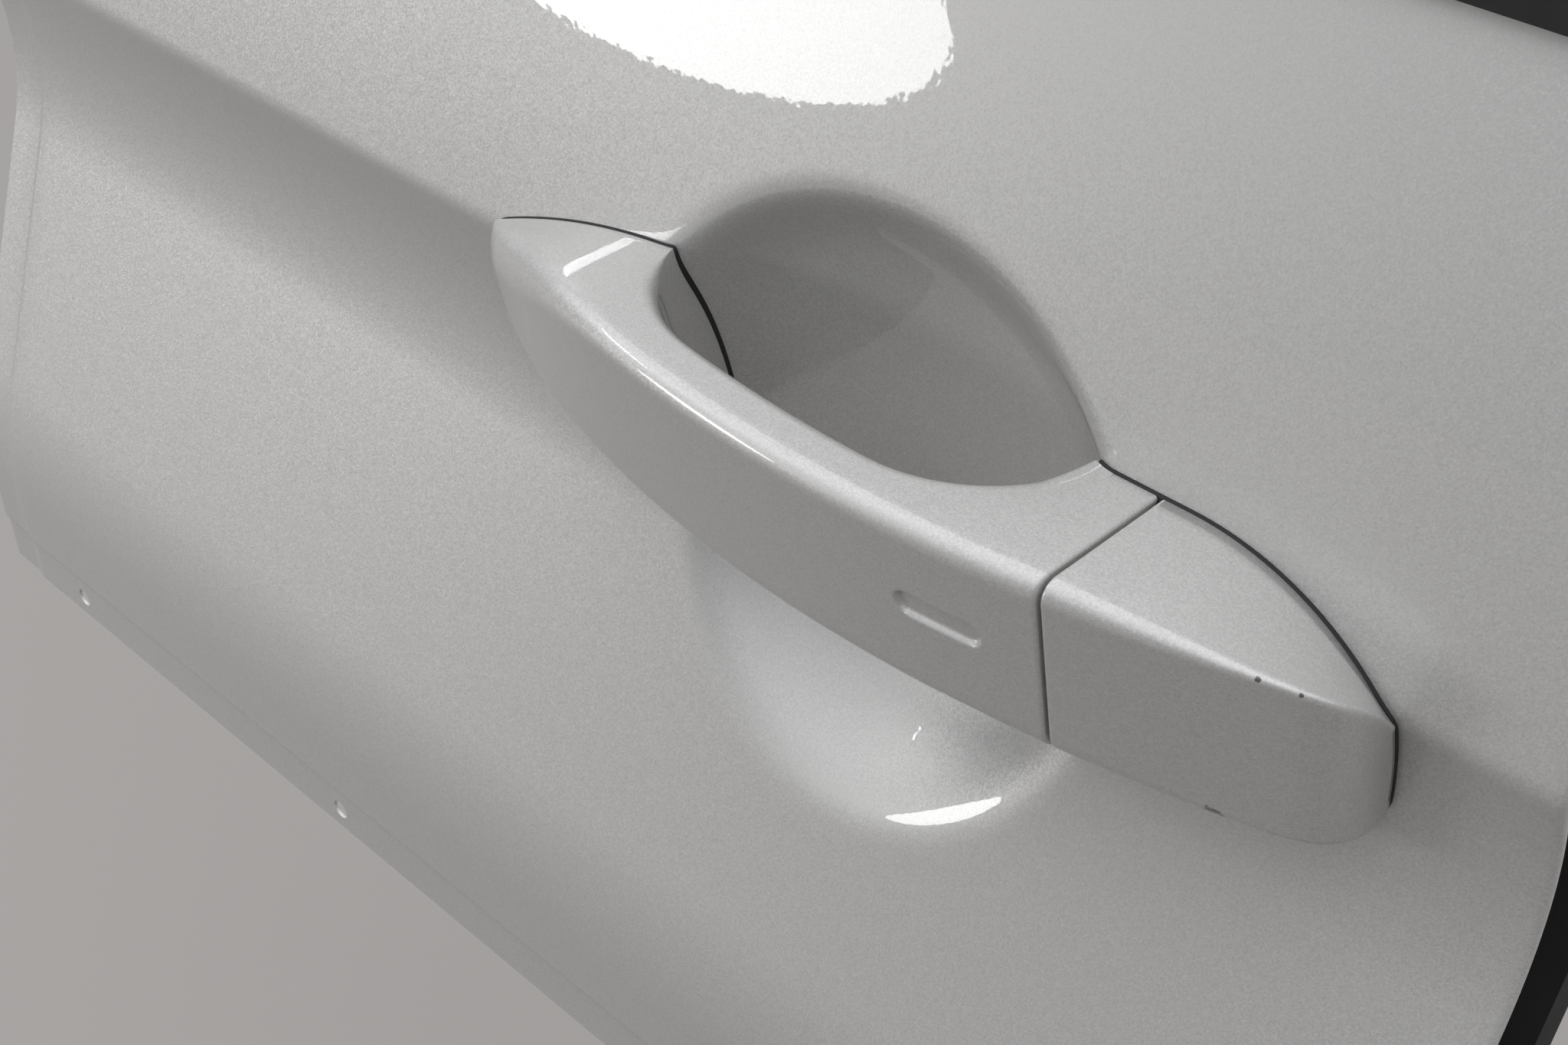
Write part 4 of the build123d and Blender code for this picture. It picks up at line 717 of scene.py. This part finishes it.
def cap_surface():
    """Grid of the cap, one row for each edge point: a straight facet up from the skin, a quarter ellipse
    over the crease, and the face to the middle line. Close to the seam the section shrinks by a quarter
    round, inwards on the face and towards the middle on the facet."""
    edge_x, edge_z, run, crease_z, rounding, middle_run = cap_edges()
    skin_edge = np.stack([edge_x, contact_y(edge_x, edge_z), edge_z], -1)
    crease = cap_face(run, crease_z)
    facet = skin_edge - crease
    length = np.linalg.norm(facet, axis=-1)
    size = np.minimum(rounding, 0.45 * length)
    way = np.stack([middle_run - run, MIDDLE_Z - crease_z], -1)
    way /= np.linalg.norm(way, axis=-1, keepdims=True)
    inner_run, inner_z = run + way[:, 0] * size, crease_z + way[:, 1] * size
    on_face = cap_face(inner_run, inner_z) - crease
    on_facet = facet * (size / (length + 1e-9))[:, None]
    share = np.linspace(0.0, 1.0, FACET_STEPS)[None, :, None]
    straight = skin_edge[:, None] * (1.0 - share) + (crease + on_facet)[:, None] * share
    turn = np.linspace(0.0, 0.5 * math.pi, EDGE_STEPS + 1)[1:]
    over = (crease[:, None] + on_facet[:, None] * (1.0 - np.sin(turn))[None, :, None]
            + on_face[:, None] * (1.0 - np.cos(turn))[None, :, None])
    part = np.linspace(0.0, 1.0, FACE_STEPS + 1)[1:]
    face = cap_face(inner_run[:, None] + (middle_run - inner_run)[:, None] * part,
                    inner_z[:, None] + (MIDDLE_Z - inner_z)[:, None] * part)
    grid = np.concatenate([straight, over, face], 1)
    tilt = np.concatenate([np.zeros(FACET_STEPS), turn, np.full(len(part), 0.5 * math.pi)])
    pull = seam_inset(-edge_x)[:, None]
    upper = np.where(np.arange(len(edge_x)) <= len(edge_x) // 2, 1.0, -1.0)[:, None]
    grid[..., 1] += pull * np.sin(tilt)
    grid[..., 2] -= pull * np.cos(tilt) * upper
    return grid


def seam_wall(grid):
    """The wall at the seam: straight lines from the edge of the face in to the skin, between the two
    facets' ends."""
    front = np.concatenate([grid[0, FACET_STEPS - 1:], grid[-1, FACET_STEPS - 1:][::-1]])
    back = front.copy()
    back[:, 1] = contact_y(front[:, 0], front[:, 2])
    back[0], back[-1] = grid[0, 0], grid[-1, 0]
    share = np.linspace(0.0, 1.0, FACET_STEPS)[None, :, None]
    return back[:, None] * (1.0 - share) + front[:, None] * share


# The cap's own paint has the scuffs of daily use: two on its crease, one where its lower edge was knocked.
SCUFFS = (((36.2, -20.8, 12.9), 0.85), ((42.6, -18.6, 12.2), 0.75), ((29.5, -15.5, -23.8), 3.2))
scuffed_paint = metallic_paint("scuffed_metallic_paint", SCUFFS)
cap_grid = cap_surface()
wall_grid = seam_wall(cap_grid)
cap = piece("painted_cap", [(cap_grid.reshape(-1, 3), quads_of(*cap_grid.shape[:2])),
                            (wall_grid.reshape(-1, 3), quads_of(*wall_grid.shape[:2]))],
            "door_section", [scuffed_paint], ["cap"], sharp=35.0, merge=0.005)
shell = cap.modifiers.new("wall", "SOLIDIFY")
shell.thickness, shell.offset = CAP_WALL * MM, -1.0

# Gaskets
# Soft moulded pads under the grip's foot and under the cap, which keep water out and the paint from chafing.
# Only their edge shows, as a dark line; each is a ring that follows the skin.
CLOUD_GRAINS, ROUGHNESS_SPREAD = 14.0, 0.06


def grained(name, low, high, grain, depth, inputs):
    """A finish with a cloudy colour between two shades, a roughness that follows it, and a fine grain of
    the given width and depth. The clouds are 14 grains wide."""
    made, tree = new_finish(name)
    place = add(tree, "TexCoord", {})["Object"]
    cloud_width = CLOUD_GRAINS * grain * MM
    cloud = add(tree, "TexNoise", {"Vector": place, "Scale": 1.0 / cloud_width, "Detail": 3.0})[0]
    base = add(tree, "MixRGB", {0: cloud, 1: linear(low), 2: linear(high)})[0]
    rough = inputs["Roughness"]
    dull = add(tree, "MapRange", {"Value": cloud, "From Min": 0.3, "From Max": 0.7,
                                  "To Min": rough - ROUGHNESS_SPREAD, "To Max": rough + ROUGHNESS_SPREAD})[0]
    fine = add(tree, "TexNoise", {"Vector": place, "Scale": 1.0 / (grain * MM), "Detail": 2.0})[0]
    fine = add(tree, "Bump", {"Height": fine, "Strength": 0.5, "Distance": depth * MM})[0]
    show(tree, {**inputs, "Base Color": base, "Roughness": dull, "Normal": fine})
    return made


# Moulded rubber: matt black, with the fine bloom of a part that has seen weather.
gasket_rubber = grained("gasket_rubber", "#161616", "#222223", 0.6, 0.03, {"Roughness": 0.7})
# A pad's section: ways outwards from the outline, and heights over the skin as shares of its own height.
PAD_GROW, PAD_HEIGHT, PAD_SEAT = 0.1, 0.75, 0.02
PAD_OUT = np.array((0.0, 0.0, -0.1, -0.3, -2.4, -2.6, -2.6, -2.4))
PAD_RISE = np.array((0.0, 0.6, 0.9, 1.0, 1.0, 0.8, 0.2, 0.0))


def pad(loop_x, loop_z):
    """A flat ring on the skin along a closed outline: rows go round the outline, columns round the pad's
    section, which is set out square to the outline and lifted square to the skin."""
    dx = np.roll(loop_x, -1) - np.roll(loop_x, 1)
    dz = np.roll(loop_z, -1) - np.roll(loop_z, 1)
    length = np.hypot(dx, dz)
    out_x, out_z = dz / length, -dx / length
    out_by = PAD_OUT + PAD_GROW
    lift = PAD_RISE * (PAD_HEIGHT - PAD_SEAT) + PAD_SEAT
    x = loop_x[:, None] + out_x[:, None] * out_by
    z = loop_z[:, None] + out_z[:, None] * out_by
    along_x, up = skin_slope(x, z)
    y = skin_y(x, z) - lift * np.sqrt(1.0 + along_x ** 2 + up ** 2)
    grid = np.stack([x, y, z], -1)
    return grid.reshape(-1, 3), quads_of(*grid.shape[:2], closed=True, ring=True)


def loop_of(points, spacing=0.9, soften=3):
    """Evenly spaced closed outline through points. Its corners are softened by taking, a few times over,
    half of each point and a quarter of each of its neighbours."""
    points = np.vstack([points, points[:1]])
    run = np.concatenate([[0.0], np.cumsum(np.hypot(*np.diff(points, axis=0).T))])
    even = np.linspace(0.0, run[-1], int(run[-1] / spacing))[:-1]
    loop = np.stack([np.interp(even, run, points[:, 0]), np.interp(even, run, points[:, 1])], -1)
    for _ in range(soften):
        loop = (np.roll(loop, 1, 0) + 2.0 * loop + np.roll(loop, -1, 0)) / 4.0
    return loop[::-1, 0], loop[::-1, 1]


foot_top = np.linspace(TIP_X, gap_levels[-1, 0, 0], GAP_LEVELS)
foot_low = np.linspace(gap_levels[0, 0, 0], TIP_X, GAP_LEVELS)
foot_loop = np.concatenate([np.stack([foot_top, top_z(foot_top)], -1),
                            np.stack([gap_levels[::-1, 0, 0], level_z[::-1]], -1),
                            np.stack([foot_low, bottom_z(foot_low)], -1)])
cap_x, cap_z, *_ = cap_edges()
block_loop = np.concatenate([np.stack([cap_x, cap_z], -1), np.stack([gap_levels[:, -1, 0], level_z], -1)])
piece("front_gasket_ring", [pad(*loop_of(foot_loop))], "door_section", [gasket_rubber],
      ["front_gasket"])
piece("rear_gasket_ring", [pad(*loop_of(block_loop))], "door_section", [gasket_rubber],
      ["rear_gasket"])

# Belt strip
# A black strip of rubber over a metal core, pushed on the upright flange at the bottom of the window.
# Its shape comes from the CAD node, which gets the finish of the real strip.


def finish_nodes(finish, *names):
    """Gives nodes of the frame a finish."""
    for name in names:
        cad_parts[name].data.materials.clear()
        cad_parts[name].data.materials.append(finish)


# Extruded rubber: black and slightly shiny, with faint clouds.
trim_rubber = grained("black_trim_rubber", "#111112", "#1B1B1C", 0.5, 0.02, {"Roughness": 0.48})
finish_nodes(trim_rubber, "belt_seal")

# Shut face, seal and mechanism
# The inner panel's pressed edge with its foam seal, and behind the skin the moulded carrier, hinge, hook and
# crank, the cast lock and counterweight, and their turned pins and screw.
# Their shapes come from the CAD nodes; each gets the finish of its real material.

# Foam rubber: very dull, with open pores. The pores are drawn 0.8 mm wide.
seal_rubber = grained("foam_seal_rubber", "#101011", "#1A1A1B", 0.8, 0.12, {"Roughness": 0.88})
# Body colour sprayed thin on inner faces: no clear layer, so it looks chalky.
inner_paint = grained("inner_paint", "#918F8D", "#A5A3A1", 1.2, 0.02, {"Roughness": 0.46, "Metallic": 0.2})
# Glass-filled nylon: black-grey, with the sparkle of short fibres at the surface.
nylon = grained("glass_filled_nylon", "#1B1C1E", "#2B2C2F", 0.5, 0.05, {"Roughness": 0.5})
# Zinc plating on steel: bluish grey and shiny, with a cloudy bloom.
steel = grained("zinc_plated_steel", "#9DA1A5", "#B4B6B8", 0.7, 0.008, {"Roughness": 0.3, "Metallic": 1.0})
# Zinc as it comes from the die: dull grey with flow marks.
zinc = grained("die_cast_zinc", "#7F8183", "#979A9C", 0.9, 0.03, {"Roughness": 0.5, "Metallic": 1.0})
finish_nodes(seal_rubber, "edge_seal")
finish_nodes(inner_paint, "shut_face")
finish_nodes(nylon, "carrier", "hinge_arm", "pull_hook", "bell_crank")
finish_nodes(steel, "hinge_pin", "crank_axle", "lock_paddle", "retaining_screw")
finish_nodes(zinc, "lock_housing", "counterweight", "lock_plug")

# Return spring
# A torsion spring of oiled wire on the post behind the carrier's rear lug, wound with its coils touching.
# It is one wire: a tube along a helix, with its last half turn flat at both ends.
SPRING_FIRST_X, SPRING_LAST_X = 14.2, 22.2
SPRING_Y, SPRING_Z = 35.33, 17.41
SPRING_RADIUS, WIRE_RADIUS, COILS = 5.6, 1.0, 5.0
# Spring wire: dark, drawn smooth and oiled, so its highlights are sharp.
spring_wire = grained("oiled_spring_wire", "#4A4B4E", "#66686B", 0.4, 0.004,
                      {"Roughness": 0.28, "Metallic": 1.0})


def tube_along(path, radius, sides=12):
    """Tube round a path: at each point a circle square to it, set out from the direction square to both the
    path and the spring's axis. Both ends are closed."""
    way = np.gradient(path, axis=0)
    way /= np.linalg.norm(way, axis=1, keepdims=True)
    first = np.cross(way, (1.0, 0.0, 0.0))
    first /= np.linalg.norm(first, axis=1, keepdims=True)
    second = np.cross(way, first)
    turn = np.linspace(0.0, 2.0 * math.pi, sides, endpoint=False)
    rings = (path[:, None] + radius * (first[:, None] * np.cos(turn)[None, :, None]
                                       + second[:, None] * np.sin(turn)[None, :, None]))
    return [(rings.reshape(-1, 3), quads_of(*rings.shape[:2], closed=True)), fan(rings[0]), fan(rings[-1])]


coil_turn = np.linspace(0.0, 2.0 * math.pi * (COILS - 1.0), 220)
coil_share = np.clip((coil_turn - math.pi) / (coil_turn[-1] - 2.0 * math.pi), 0.0, 1.0)
coil = np.stack([SPRING_FIRST_X + (SPRING_LAST_X - SPRING_FIRST_X) * coil_share,
                 SPRING_Y + SPRING_RADIUS * np.sin(coil_turn),
                 SPRING_Z + SPRING_RADIUS * np.cos(coil_turn)], -1)
piece("return_spring_coil", tube_along(coil, WIRE_RADIUS), "door_section", [spring_wire],
      ["return_spring"])

# Floor, light and camera
# A plain pale floor well below the object, a soft light to the left, a small one above it, and the photo's
# view. The floor gives less light back to the object than it shows to the camera and in reflections.
FLOOR_Z, FLOOR_HALF = -0.35, 6.0
FLOOR_SEEN, FLOOR_LIGHT = "#8C8986", "#3A3735"
floor_finish, tree = new_finish("pale_floor")
ray = add(tree, "LightPath", {})
seen = add(tree, "Math", {0: ray["Is Camera Ray"], 1: ray["Is Glossy Ray"]}, operation="MAXIMUM")[0]
seen = add(tree, "Math", {0: seen, 1: ray["Is Transmission Ray"]}, operation="MAXIMUM")[0]
base = add(tree, "MixRGB", {0: seen, 1: linear(FLOOR_LIGHT), 2: linear(FLOOR_SEEN)})[0]
show(tree, {"Base Color": base, "Roughness": 0.9, "Specular IOR Level": 0.1})
floor_mesh = bpy.data.meshes.new("floor")
floor_corners = [(x * FLOOR_HALF, y * FLOOR_HALF, FLOOR_Z) for x, y in ((-1, -1), (1, -1), (1, 1), (-1, 1))]
floor_mesh.from_pydata(floor_corners, [], [(0, 1, 2, 3)])
floor_mesh.materials.append(floor_finish)
floor = bpy.data.objects.new("floor", floor_mesh)
bpy.context.scene.collection.objects.link(floor)

# The room: bright overhead, dim at the level of the horizon and below, with a soft glow in front to the
# left and a broad one behind, which lights the inner side. A glow grows with the cosine of the angle to its
# middle.
ROOM_LIGHT = "#FBFCFF"
HORIZON_LEVEL, OVERHEAD_LEVEL = 0.14, 1.65
GLOW_TOWARDS, GLOW_LEVEL, GLOW_START = (-0.66, -0.74, 0.12), 0.15, 0.72
BEHIND_TOWARDS, BEHIND_LEVEL, BEHIND_FULL = (0.0, 1.0, 0.0), 0.7, 0.8
world = bpy.data.worlds.new("studio")
bpy.context.scene.world = world
world.use_nodes = True
tree = world.node_tree
tree.nodes.clear()
view = add(tree, "TexCoord", {})["Generated"]
height = add(tree, "SeparateXYZ", {"Vector": view})["Z"]
strength = add(tree, "MapRange", {"Value": height, "To Min": HORIZON_LEVEL, "To Max": OVERHEAD_LEVEL},
               interpolation_type="SMOOTHSTEP")[0]
for towards, start, full, brightest in ((GLOW_TOWARDS, GLOW_START, 1.0, GLOW_LEVEL),
                                        (BEHIND_TOWARDS, 0.0, BEHIND_FULL, BEHIND_LEVEL)):
    cosine = add(tree, "VectorMath", {0: view, 1: towards}, operation="DOT_PRODUCT")["Value"]
    glow = add(tree, "MapRange", {"Value": cosine, "From Min": start, "From Max": full, "To Max": brightest},
               interpolation_type="SMOOTHSTEP")[0]
    strength = add(tree, "Math", {0: strength, 1: glow}, operation="ADD")[0]
room = add(tree, "Background", {"Color": linear(ROOM_LIGHT), "Strength": strength})[0]
add(tree, "OutputWorld", {"Surface": room})


def lamp(name, place, aim, size, power):
    """A flat oval soft light at a place, facing a point, both in metres, with its width and height and its
    watts."""
    light = bpy.data.lights.new(name, "AREA")
    light.shape, light.size, light.size_y, light.energy = "ELLIPSE", size[0], size[1], power
    made = bpy.data.objects.new(name, light)
    made.location = place
    made.rotation_euler = (Vector(aim) - Vector(place)).to_track_quat("-Z", "Y").to_euler()
    bpy.context.scene.collection.objects.link(made)
    return made


focus = Vector(crease_place.tolist())
softbox = lamp("softbox", focus + Vector((-1.25, -1.21, 0.115)), focus, (0.52, 0.34), 4.3)
side_lamp = lamp("side_lamp", focus + Vector((-1.35, -0.45, 0.8)), focus, (0.45, 0.07), 2.6)

# The photo's view: a normal lens, close by, from behind the handle and above it.
CAMERA_PLACE = (0.1593, -0.2491, 0.2321)
CAMERA_TURN, CAMERA_LIFT = math.radians(44.45), math.radians(37.2)
camera_data = bpy.data.cameras.new("camera")
camera_data.lens, camera_data.sensor_width = 50.0, 36.0
camera = bpy.data.objects.new("camera", camera_data)
camera.location = focus + Vector(CAMERA_PLACE)
back = Vector((math.sin(CAMERA_TURN) * math.cos(CAMERA_LIFT), -math.cos(CAMERA_TURN) * math.cos(CAMERA_LIFT),
               math.sin(CAMERA_LIFT)))
camera.rotation_euler = (-back).to_track_quat("-Z", "Y").to_euler()
bpy.context.scene.collection.objects.link(camera)
bpy.context.scene.camera = camera
bpy.context.scene.view_settings.view_transform = "Standard"
